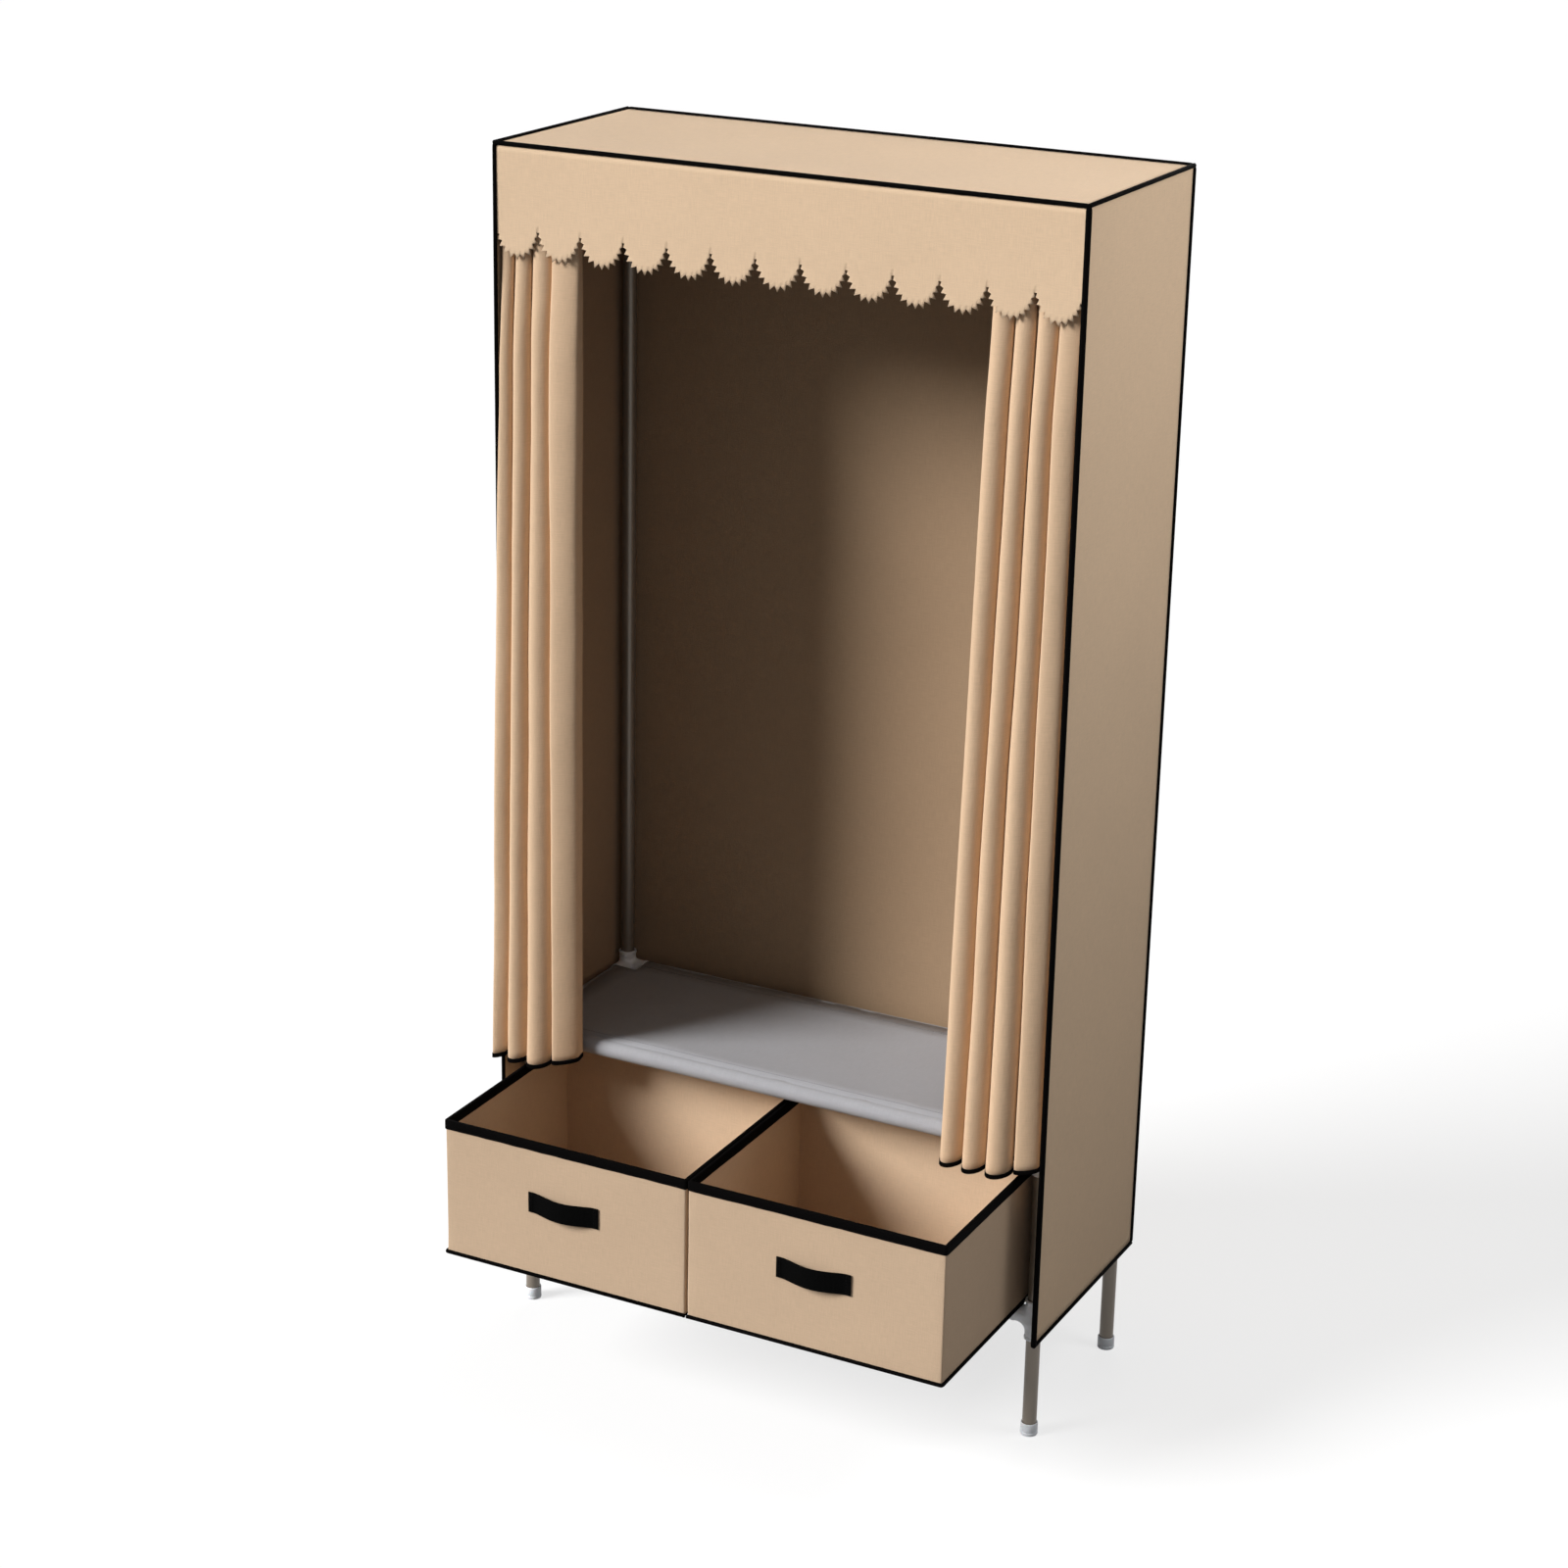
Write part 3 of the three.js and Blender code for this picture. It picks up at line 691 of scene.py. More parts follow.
# The cover's lining: partly a browner tone, partly painted shade for the shaded inside of the cover
LINING_TONE_AND_SHADE = cloth("lining_cloth", srgb(172, 144, 115))
DRAWER_LINING = cloth("drawer_lining", srgb(212, 184, 154))
SHELF_CLOTH = cloth("shelf_cloth", srgb(168, 168, 172), pitch=0.0009)
TRIM_CLOTH = webbing("black_trim", srgb(6, 5, 5), pitch=0.0009, relief=0.00018)
STRAP_WEB = webbing("black_webbing", srgb(5, 5, 5), pitch=0.0016, relief=0.0004)
GREY_THREAD = webbing("grey_thread", srgb(120, 120, 124), pitch=0.0004, relief=0.00005)
BLACK_THREAD = webbing("black_thread", srgb(20, 19, 19), pitch=0.0004, relief=0.00005)
STEEL = painted_steel("steel_tube", srgb(128, 118, 106))
PLASTIC = moulded_plastic("white_plastic", srgb(240, 243, 248))


# Steel tubes
def steel_tube(node):
    lowest, highest = low(node), high(node)
    axis = int(np.argmax(highest - lowest))
    radius = (highest - lowest)[other_axes(axis)].mean() / 2
    start, end = lowest[axis], highest[axis]
    lip = TUBE_WALL / 3
    inner = radius - TUBE_WALL
    profile = [(radius - lip, start), (radius, start + lip), (radius, end - lip), (radius - lip, end)]
    profile += [(inner + lip, end), (inner, end - lip), (inner, start + lip), (inner + lip, start)]
    shape = Shape()
    shape.lathe(profile + profile[:1], axis, middle(node))
    piece("steel_" + node, shape, [STEEL], "steel_tube", stands_for=[node], crisp=CRISP_HARD)


def foot_cap(corner):
    """A cup that flares a little to its foot, with a groove above the tread."""
    node = "foot_cap_" + corner
    lowest, highest = low(node), high(node)
    radius = (highest[0] - lowest[0]) / 2
    floor = low("lower_post_" + corner)[2] - SOCKET_CLEARANCE
    edge, groove, tread = CAP_EDGE, CAP_GROOVE, CAP_TREAD
    top_radius = BORE + CAP_WALL
    height = highest[2]
    profile = [
        (0, 0),
        (radius - 2 * edge, 0),
        (radius - edge / 2, edge / 2),
        (radius, 2 * edge),
        (radius - edge / 4, tread),
        (radius - edge / 4 - groove, tread + groove),
        (radius - edge / 3, tread + 3 * groove),
        (top_radius + edge / 2, height - 2 * edge),
        (top_radius, height - edge / 2),
        (top_radius - edge / 2, height),
        (BORE, height - edge / 3),
        (BORE, floor),
        (0, floor),
    ]
    shape = Shape()
    shape.lathe(profile, 2, middle(node))
    piece("cup_" + node, shape, [PLASTIC], "white_plastic", stands_for=[node], crisp=CRISP_HARD)


# Moulded connectors, as distance fields that blend into each other
def bar_field(p, axis, centre, start, end, radius, edge=MOULD_EDGE):
    one, other = other_axes(axis)
    start, end = min(start, end), max(start, end)
    radial = np.hypot(p[..., one] - centre[one], p[..., other] - centre[other]) - radius + edge
    along = np.abs(p[..., axis] - (start + end) / 2) - (end - start) / 2 + edge
    outside = np.hypot(np.maximum(radial, 0), np.maximum(along, 0))
    return np.minimum(np.maximum(radial, along), 0) + outside - edge


def box_field(p, lowest, highest):
    lowest, highest = np.minimum(lowest, highest), np.maximum(lowest, highest)
    away = np.abs(p - (lowest + highest) / 2) - (highest - lowest) / 2 + MOULD_EDGE
    outside = np.linalg.norm(np.maximum(away, 0), axis=-1)
    return np.minimum(away.max(-1), 0) + outside - MOULD_EDGE


def bore_field(p, axis, centre, start, end):
    return bar_field(p, axis, centre, start, end, BORE, BORE_EDGE)


def cut_out(solid, *cuts):
    """What each cut leaves of the solid."""
    return np.maximum.reduce([solid] + [-cut for cut in cuts])


def blended(one, other, width=FILLET):
    share = np.clip(0.5 + 0.5 * (other - one) / width, 0, 1)
    return other * (1 - share) + one * share - width * share * (1 - share)


def sleeve_field(p, axis, centre, start, end, collar_at_start=False):
    """A sleeve from start to end, with a raised collar at its open end."""
    step = COLLAR_LENGTH * np.sign(start - end)
    field = bar_field(p, axis, centre, start, end, SLEEVE_RADIUS)
    field = np.minimum(field, bar_field(p, axis, centre, end + step, end, SLEEVE_RADIUS + COLLAR_RISE))
    if collar_at_start:
        collar = bar_field(p, axis, centre, start, start - step, SLEEVE_RADIUS + COLLAR_RISE)
        field = np.minimum(field, collar)
    return field


def skin(field, lowest, highest):
    """Quads over the surface where a distance field crosses zero, one vertex in each crossed cell."""
    cell = MOULD_CELL
    before, after = MOULD_MARGINS
    axes = [np.arange(a - before * cell, b + after * cell, cell) for a, b in zip(lowest, highest)]
    origin = np.array([a[0] for a in axes])
    values = field(np.stack(np.meshgrid(*axes, indexing="ij"), -1))
    cells = tuple(np.array(values.shape) - 1)
    total = np.zeros(cells + (3,))
    count = np.zeros(cells)
    for axis in range(3):
        others = other_axes(axis)
        for corner in itertools.product((0, 1), repeat=2):
            shift = np.zeros(3, int)
            shift[others] = corner
            near = values[tuple(slice(s, s + n) for s, n in zip(shift, cells))]
            shift[axis] = 1
            far = values[tuple(slice(s, s + n) for s, n in zip(shift, cells))]
            crossed = (near < 0) != (far < 0)
            place = np.tile(shift.astype(float), cells + (1,))
            place[..., axis] = near / np.where(crossed, near - far, 1)
            total[crossed] += place[crossed]
            count += crossed
    used = count > 0
    number = np.full(cells, -1)
    number[used] = np.arange(used.sum())
    vertices = origin + (np.argwhere(used) + total[used] / count[used][:, None]) * cell
    faces = []
    for axis in range(3):
        one, other = (axis + 1) % 3, (axis + 2) % 3
        inner = [slice(1, -1)] * 3
        inner[axis] = slice(0, -1)
        ahead = list(inner)
        ahead[axis] = slice(1, None)
        near, far = values[tuple(inner)], values[tuple(ahead)]
        around = []
        for back in ((1, 1), (0, 1), (0, 0), (1, 0)):
            part = [slice(0, n) for n in cells]
            part[one] = slice(1 - back[0], cells[one] - back[0])
            part[other] = slice(1 - back[1], cells[other] - back[1])
            around.append(number[tuple(part)])
        quads = np.stack(around, -1)
        faces += quads[(near < 0) & (far >= 0)].tolist()
        faces += quads[(near >= 0) & (far < 0)][:, ::-1].tolist()
    return vertices, faces


def moulded(node, field):
    shape = Shape()
    shape.add(*skin(field, low(node), high(node)))
    piece("moulded_" + node, shape, [PLASTIC], "white_plastic", stands_for=[node])


def connector(node, post, rail_z, capped=False):
    """Two arms and a sleeve on the post.

    A capped one closes over the post, and at the front it also holds an end of the curtain rod.
    """
    centre = middle(post)
    centre[2] = rail_z
    lowest, highest = low(node), high(node)
    outward = np.sign(centre[0])
    inward = -1 if "rear" in node else 1
    arm_x = lowest[0] if outward > 0 else highest[0]
    arm_y = highest[1] if inward > 0 else lowest[1]
    post_top = rail_z - BORE if capped else highest[2] + BORE
    root = TUBE_RADIUS + 2 * COLLAR_RISE

    def with_ear(p, solid):
        outer = centre[0] + outward * SLEEVE_RADIUS
        inner = outer - outward * EAR_THICKNESS
        tab = box_field(p, (inner, lowest[1], ROD[2] - EAR_BELOW), (outer, centre[1], rail_z))
        pocket_end = outward * (high("curtain_rod")[0] + SOCKET_CLEARANCE)
        pocket = bar_field(p, 0, ROD, 0, pocket_end, ROD_RADIUS + SOCKET_CLEARANCE)
        return cut_out(blended(solid, tab), pocket)

    def field(p):
        upright = sleeve_field(p, 2, centre, highest[2], lowest[2], collar_at_start=not capped)
        arms = [sleeve_field(p, 0, centre, centre[0], arm_x), sleeve_field(p, 1, centre, centre[1], arm_y)]
        fillet = FILLET + (FILLET_BELOW - FILLET) * smooth((rail_z - p[..., 2]) / TUBE_RADIUS)
        solid = blended(blended(upright, arms[0], fillet), arms[1], fillet)
        if capped and "front" in node:
            solid = with_ear(p, solid)
        return cut_out(
            solid,
            bore_field(p, 2, centre, lowest[2] - BORE, post_top),
            bore_field(p, 0, centre, centre[0] - outward * root, arm_x - outward * BORE),
            bore_field(p, 1, centre, centre[1] + inward * root, arm_y + inward * BORE),
        )

    moulded(node, field)


def hanging_bracket(side_name, side):
    """A sleeve on the side rail, a web, and a boss that takes the hanging rail's end."""
    node = "hanging_bracket_" + side_name
    lowest, highest = low(node), high(node)
    rail = middle("top_rail_" + side_name)
    boss = middle("hanging_rail")
    web = BRACKET_WEB / 2
    mouth = lowest[0] if side > 0 else highest[0]
    back = rail[0] + side * BOSS_BACK
    rail_end = side * (high("hanging_rail")[0] + SOCKET_CLEARANCE)

    def field(p):
        sleeve = bar_field(p, 1, rail, lowest[1], highest[1], SLEEVE_RADIUS)
        plate = box_field(p, (rail[0] - web, lowest[1], boss[2]), (rail[0] + web, highest[1], rail[2]))
        return cut_out(
            blended(blended(sleeve, plate), sleeve_field(p, 0, boss, back, mouth)),
            bore_field(p, 1, rail, lowest[1] - BORE, highest[1] + BORE),
            bore_field(p, 0, boss, mouth - side * BORE, rail_end),
        )

    moulded(node, field)


def make_frame():
    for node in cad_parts:
        if "_post_" in node or "_rail_" in node or node in ("hanging_rail", "curtain_rod"):
            steel_tube(node)
    for side_name, side in SIDES.items():
        for end in ENDS:
            corner = f"{end}_{side_name}"
            post = "lower_post_" + corner
            foot_cap(corner)
            for level in ("base", "shelf"):
                connector(f"{level}_tee_{corner}", post, middle(f"{level}_rail_{end}")[2])
            connector("top_corner_" + corner, post, middle("top_rail_" + end)[2], capped=True)
        hanging_bracket(side_name, side)


# Cover
def cover_sheet(node, shape, **options):
    """A lined piece of the cover."""
    return piece(
        node + "_cloth", shape, [COVER_CLOTH, LINING_TONE_AND_SHADE], "cover_cloth", stands_for=[node],
        thickness=CLOTH_THICKNESS, offset=0, material_offset=1, **options,
    )


def panel(node, corner, across, up, sag=0.0, held_edge=0.0):
    """A panel between its seams. It ripples a little, and sags along its normal if asked."""
    across, up = np.array(across, float), np.array(up, float)
    width, height = np.linalg.norm(across), np.linalg.norm(up)
    u = np.linspace(0, 1, round(width / PANEL_STEP) + 1)[None, :]
    v = np.linspace(0, 1, round(height / PANEL_STEP) + 1)[:, None]
    normal = np.cross(across, up) / width / height
    across_in, up_in = held_edge / width, held_edge / height
    free = looseness((u - across_in) / (1 - 2 * across_in), (v - up_in) / (1 - 2 * up_in), PANEL_FREEDOM)
    lift = free * (ripple(u * width, v * height, SEEDS[node], PANEL_RIPPLE) - sag)
    shape = Shape()
    shape.lattice(np.array(corner) + u[..., None] * across + v[..., None] * up + lift[..., None] * normal)
    obj = cover_sheet(node, shape)


def make_cover():
    depth, height = BACK_Y - FRONT_Y, TOP_Z - BOTTOM_Z
    panel("cover_right", (COVER_X, FRONT_Y, BOTTOM_Z), (0, depth, 0), (0, 0, height))
    panel("cover_left", (-COVER_X, BACK_Y, BOTTOM_Z), (0, -depth, 0), (0, 0, height))
    panel("cover_back", (COVER_X, BACK_Y, BOTTOM_Z), (-2 * COVER_X, 0, 0), (0, 0, height))
    across, back = (2 * COVER_X, 0, 0), (0, depth, 0)
    panel("cover_top", (-COVER_X, FRONT_Y, TOP_Z), across, back, sag=TOP_SAG, held_edge=TOP_HELD_EDGE)


def make_piping():
    """Covered cord in the cover's seams: round the front opening, round the back and along the sides."""
    out = PIPING_STANDOFF
    reach, top, front_y, back_y = COVER_X + out, TOP_Z + out, FRONT_Y - out, BACK_Y + out
    corners = ((-reach, BOTTOM_Z), (-reach, top), (reach, top), (reach, BOTTOM_Z))
    shape = Shape()
    cord = circle(PIPING_RADIUS, PIPING_SIDES)
    front = rounded_path([(x, front_y, z) for x, z in corners], PIPING_CORNER)
    left, right = FRONT_EDGE_SCALES
    bend = len(front) // 2 - 1
    scales = np.concatenate([[left], np.linspace(left, 1, bend), np.linspace(1, right, bend), [right]])
    shape.sweep(front, cord, up=(0, 1, 0), scales=scales)
    back = rounded_path([(x, back_y, z) for x, z in corners], PIPING_CORNER, closed=True)
    shape.sweep(back, cord, up=(0, 1, 0), closed=True)
    for x in (-reach, reach):
        for z in (BOTTOM_Z, top):
            shape.sweep([(x, front_y, z), (x, back_y, z)], cord)
    piece("cover_piping_cord", shape, [TRIM_CLOTH], "black_trim", stands_for=["cover_piping"])


def scallop_edge():
    """Points along one scallop at even distances, two for each tooth and one more, and the teeth's tips."""
    half = COVER_X / SCALLOPS - NOTCH_HALF
    across = np.linspace(-1, 1, SCALLOP_POINTS)
    drop = SCALLOP_DEPTH * (1 - np.abs(across) ** SCALLOP_POWER)
    line = np.column_stack([across * half, -drop])
    length = distances(line)[-1]
    places = np.linspace(0, length, 2 * TEETH + 1)
    points = points_at(line, places)
    tangents = np.gradient(points, axis=0)
    normals = np.column_stack([tangents[:, 1], -tangents[:, 0]])
    normals /= np.linalg.norm(normals, axis=1)[:, None]
    from_notch = np.minimum(places, length - places)[1::2]
    reach = TOOTH_DEPTH * (FIRST_TOOTH + (1 - FIRST_TOOTH) * smooth(from_notch / FULL_TOOTH_FROM))
    return points, points[1::2] + normals[1::2] * reach[:, None]


def make_valance():
    """A flat panel whose lower edge is cut into scallops with pinked teeth."""
    half = COVER_X / SCALLOPS
    notch_z = TOP_Z - NOTCH_DROP
    edge, tips = scallop_edge()
    centres = (2 * np.arange(SCALLOPS) + 1) * half - COVER_X

    def hung(x, z):
        x, z = np.broadcast_arrays(x, z)
        wave = ripple(x, z * VALANCE_STRETCH, SEEDS["valance"], VALANCE_RIPPLE)
        return np.stack([x, FRONT_Y + wave * smooth((TOP_Z - z) / VALANCE_HELD), z], -1)

    shape = Shape()
    columns = np.concatenate([[-COVER_X], (centres[:, None] + edge[:, 0]).ravel(), [COVER_X]])
    shape.lattice(hung(columns, np.linspace(notch_z, TOP_Z, VALANCE_ROWS)[:, None]), plane=(0, 2))
    fall = np.linspace(1, 0, SCALLOP_ROWS)[:, None]
    for centre in centres:
        start = shape.lattice(hung(centre + edge[:, 0], notch_z + edge[:, 1] * fall), plane=(0, 2))
        tip = shape.add(hung(centre + tips[:, 0], notch_z + tips[:, 1]))
        for tooth in range(TEETH):
            for base in (start + 2 * tooth, start + 2 * tooth + 1):
                corners = (base + 1, base, tip + tooth)
                shape.face(corners, [(shape.vertices[i][0], shape.vertices[i][2]) for i in corners])
    obj = cover_sheet("valance", shape, crisp=CRISP_CLOTH)


# Curtains
def fold_line(meetings, depths, bulges, turns, lean):
    """Points across a curtain's folds as (distance from the middle, forward, fold), outer edge first.

    The valleys lean by a share of their depth, and at most a share of the fold that they lean under.
    """
    line = []
    last = len(depths) - 1
    lean_room = LEAN_ROOM * (meetings[:-2] - meetings[1:-1] if lean > 0 else meetings[1:-1] - meetings[2:])
    leans = np.zeros(last + 2)
    leans[1:-1] = np.clip(lean * (depths[:-1] + depths[1:]) / 2, -lean_room, lean_room)
    for fold, depth in enumerate(depths):
        outer = meetings[fold] - (VALLEY_RADIUS if fold else 0)
        inner = meetings[fold + 1] + (VALLEY_RADIUS if fold < last else 0)
        centre, radius = (outer + inner) / 2, (outer - inner) / 2
        bulge = min(bulges[fold], FOLD_ROUNDNESS * radius, BULGE_SHARE * (depth + FOLD_REACH))
        flank = depth + FOLD_REACH - bulge
        skew = np.clip(turns[fold], -flank, flank)
        for share in FLANK_SHARES:
            line.append((outer + leans[fold] * (1 - share), (flank - skew / 2) * share, fold))
        for turn in np.linspace(0, math.pi, CREST_POINTS):
            forward = flank - skew / 2 * math.cos(turn) + bulge * math.sin(turn)
            line.append((centre + radius * math.cos(turn), forward, fold))
        for share in FLANK_SHARES[:0:-1]:
            line.append((inner + leans[fold + 1] * (1 - share), (flank + skew / 2) * share, fold))
        if fold < last:
            valley = meetings[fold + 1] + leans[fold + 1]
            for turn in np.linspace(0, math.pi, VALLEY_POINTS):
                forward = -VALLEY_RADIUS * math.sin(turn)
                line.append((valley + VALLEY_RADIUS * math.cos(turn), forward, fold + turn / math.pi))
    line.append((meetings[-1], 0, last))
    return np.array(line)


def curtain_rows(side_name, side, heights):
    """Rows of points over a hanging curtain, each at its share of the way up from the hem."""
    node = "curtain_" + side_name
    bottom, top = low(node)[2], ROD[2] - HEADING_RADIUS
    back = high(node)[1] - CURTAIN_THICKNESS - VALLEY_RADIUS
    shares = np.array(FOLD_SHARES[side_name])
    ends = np.array([MEETINGS_TOP[side_name], MEETINGS_BOTTOM[side_name]])
    order = np.arange(len(ends[0])) * FOLD_SPACING
    rows = []
    for height in heights:
        fall = 1 - height
        meetings = ends[0] + (ends[1] - ends[0]) * fall
        wander = ripple(order, height * (top - bottom), SEEDS[node], FOLD_WANDER)
        wander[[0, -1]] *= EDGE_SHARE
        depth = FOLD_DEPTH_TOP + (FOLD_DEPTH_BOTTOM - FOLD_DEPTH_TOP) * fall
        uneven = ripple(order[:-1], height, SEEDS[node + "_depth"], DEPTH_WANDER)
        deep = depth * (1 - (1 - shares) * fall + uneven)
        turns = np.array(FOLD_TURNS[side_name]) * (TURN_AT_TOP + (1 - TURN_AT_TOP) * fall)
        line = fold_line(meetings + wander, deep, FOLD_BULGES[side_name], turns, -side * VALLEY_LEAN)
        away, forward, fold = line.T
        across, up = CURTAIN_STRETCH
        uneven = ripple(away * across, height * up, SEEDS[node + "_surface"], CURTAIN_RIPPLE)
        forward = (forward + uneven) * (1 - PULLED_IN * smooth((height - PULLED_FROM) / PULLED_OVER))
        y = back - forward
        past_cover = smooth((FRONT_Y + BILLOW_FROM - y) / BILLOW_OVER) * (fold < 1)
        inner = meetings[1]
        billow = past_cover * fall * OUTER_BILLOW[side_name] / (meetings[0] - inner)
        away = inner + (away - inner) * (1 + billow)
        tuck = VALLEY_RISE * (1 - np.clip(forward / forward.max(), 0, 1))
        rise = np.interp(fold, np.arange(len(shares)), HEM_RISES[side_name]) + tuck
        z = bottom + rise + (top - bottom - rise) * height
        rows.append(np.column_stack([side * away, y, z]))
    return rows


def curtain_cloth(side_name, side):
    """A curtain's rows of points from the hem up, over the rod and down behind it."""
    heights = np.append(np.linspace(*HANGING_ROWS), np.linspace(*GATHERED_ROWS))
    rows = curtain_rows(side_name, side, heights)
    face = ROD[1] - HEADING_RADIUS
    for row, height in zip(rows, heights):
        gathered = smooth((height - GATHERED_FROM) / GATHERED_OVER)
        middle_y = row[:, 1].mean()
        close = face + (row[:, 1] - middle_y) * GATHERED_SHARE
        row[:, 1] += (close - row[:, 1]) * gathered
    neck = rows[-1]
    radius = HEADING_RADIUS - (neck[:, 1] - face) * HEADING_SPREAD
    for turn in np.radians(np.linspace(*HEADING_TURNS)):
        y, z = ROD[1] - radius * math.cos(turn), ROD[2] + radius * math.sin(turn)
        rows.append(np.column_stack([neck[:, 0], y, z]))
    rows.append(rows[-1] - (0, 0, HEADING_TAIL))
    return rows


def curtain(side_name, side):
    node = "curtain_" + side_name
    hung = {"offset": 0, "use_even_offset": False}
    shape = Shape()
    shape.lattice(np.array(curtain_cloth(side_name, side)))
    cloth_piece = piece(
        node + "_cloth", shape, [SHADE_DARKENED_CURTAIN_CLOTH], "cover_cloth", body=None,
        stands_for=[node, "curtain_edge_" + side_name], thickness=CURTAIN_THICKNESS, **hung,
    )
    reach = ROD[2] - HEADING_RADIUS - low(node)[2]
    hem_heights = np.linspace(-HEM_BELOW, HEM_HEIGHT, HEM_ROWS) / reach
    hem_shape = Shape()
    hem_shape.lattice(np.array(curtain_rows(side_name, side, hem_heights)))
    hem = piece(
        node + "_hem", hem_shape, [TRIM_CLOTH], "black_trim", body=None, thickness=HEM_THICKNESS, **hung
    )
    for part in (cloth_piece, hem):
        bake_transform(part)


# Shelf and base
def sleeve(shape, rail, axis, reach, radius):
    """A round of cloth about a rail, a little uneven along it."""
    turns = np.linspace(0, 2 * math.pi, SLEEVE_POINTS + 1)[:-1]
    along = np.linspace(*reach, SLEEVE_ROWS)[:, None]
    swell = radius + ripple(along, turns[None] * SLEEVE_STRETCH, SEEDS["sleeve"], SLEEVE_RIPPLE)
    rows = np.zeros((SLEEVE_ROWS, SLEEVE_POINTS, 3))
    rows[..., axis] = along
    rows[..., 1 - axis] = rail[1 - axis] + swell * np.cos(turns)
    rows[..., 2] = rail[2] + swell * np.sin(turns)
    shape.lattice(rows, closed=True)


def deck(node, level):
    """Cloth stretched over four rails, sewn into a sleeve round each of them."""
    lowest, highest = low(node), high(node)
    front, rear = middle(f"{level}_rail_front"), middle(f"{level}_rail_rear")
    left, right = middle(f"{level}_rail_left"), middle(f"{level}_rail_right")
    reach_x = highest[0] - SLEEVE_RADIUS - DECK_CORNER
    reach_y = (front[1] + DECK_CORNER, rear[1] - DECK_CORNER)
    top = highest[2] - SLEEVE_CLOTH / 2
    xs = np.unique(np.concatenate([[left[0]], np.linspace(-reach_x, reach_x, DECK_POINTS[0]), [right[0]]]))
    ys = np.unique(np.concatenate([[front[1]], np.linspace(*reach_y, DECK_POINTS[1]), [rear[1]]]))
    gx, gy = np.meshgrid(xs, ys)
    u = (gx - left[0]) / (right[0] - left[0])
    v = (gy - front[1]) / (rear[1] - front[1])
    z = top + looseness(u, v, DECK_FREEDOM) * (ripple(gx, gy, SEEDS["deck"], DECK_RIPPLE) - DECK_SAG)
    points = np.stack([gx, gy, z], -1)
    shape = Shape()
    shape.lattice(points[1:-1])
    shape.lattice(points[:2, 1:-1])
    shape.lattice(points[-2:, 1:-1])
    radius = highest[2] - front[2] - SLEEVE_CLOTH / 2
    for rail in (front, rear):
        sleeve(shape, rail, 0, (-reach_x, reach_x), radius)
    for rail in (left, right):
        sleeve(shape, rail, 1, reach_y, radius)
    obj = piece(
        node + "_cloth", shape, [SHELF_CLOTH], "shelf_cloth", stands_for=[node],
        thickness=SLEEVE_CLOTH, offset=0,
    )
    threads = Shape()
    for y in (front[1] + DECK_SEAM, rear[1] - DECK_SEAM):
        line = [(x, y, top + SLEEVE_CLOTH / 2) for x in np.linspace(-reach_x, reach_x, SEAM_POINTS)]
        stitch_row(threads, settled(line, points, top), (0, 0, 1))
    seam = piece(node + "_stitches", threads, [GREY_THREAD], "shelf_cloth")


def settled(line, points, top):
    """Lowers a line of points onto a sagging deck."""
    xs, ys = points[0, :, 0], points[:, 0, 1]
    out = []
    for x, y, z in line:
        column = np.array([np.interp(x, xs, row) for row in points[..., 2]])
        out.append((x, y, z + np.interp(y, ys, column) - top))
    return out


# Drawers
def drawer(side_name, side):
    body = "drawer_" + side_name
    shell = "drawer_shell_" + side_name
    drawer_walls(body, shell)
    drawer_binding(body, shell, "drawer_binding_" + side_name)
    bottom_piping(body, shell, side)
    padded_board(body, "drawer_board_" + side_name)
    handle(body, "drawer_handle_" + side_name)


def drawer_walls(body, shell):
    """Four soft walls and a bottom, lined inside."""
    lowest, highest = low(shell), high(shell)
    loop, normals = plan_loop(lowest, highest, DRAWER_CORNER)
    around = distances(loop)
    rows = []
    for z in np.linspace(lowest[2] + WALL_BASE, highest[2], WALL_ROWS):
        share = (z - lowest[2]) / (highest[2] - lowest[2])
        held = smooth(share * WALL_HOLD) * smooth((1 - share) * WALL_HOLD)
        out = held * ripple(around, z, SEEDS[body], WALL_RIPPLE) - WALL_INSET
        rows.append(np.column_stack([loop + normals * out[:, None], np.full(len(loop), z)]))
    shape = Shape()
    start = shape.lattice(np.array(rows), closed=True)
    shape.face(range(start, start + len(loop))[::-1], loop[::-1])
    piece(
        body + "_walls", shape, [DRAWER_TONE_AND_SHADE, DRAWER_LINING], "drawer_cloth", body=body, stands_for=[shell],
        crisp=CRISP_CLOTH, thickness=WALL_THICKNESS, offset=-1, material_offset=1, material_offset_rim=1,
    )


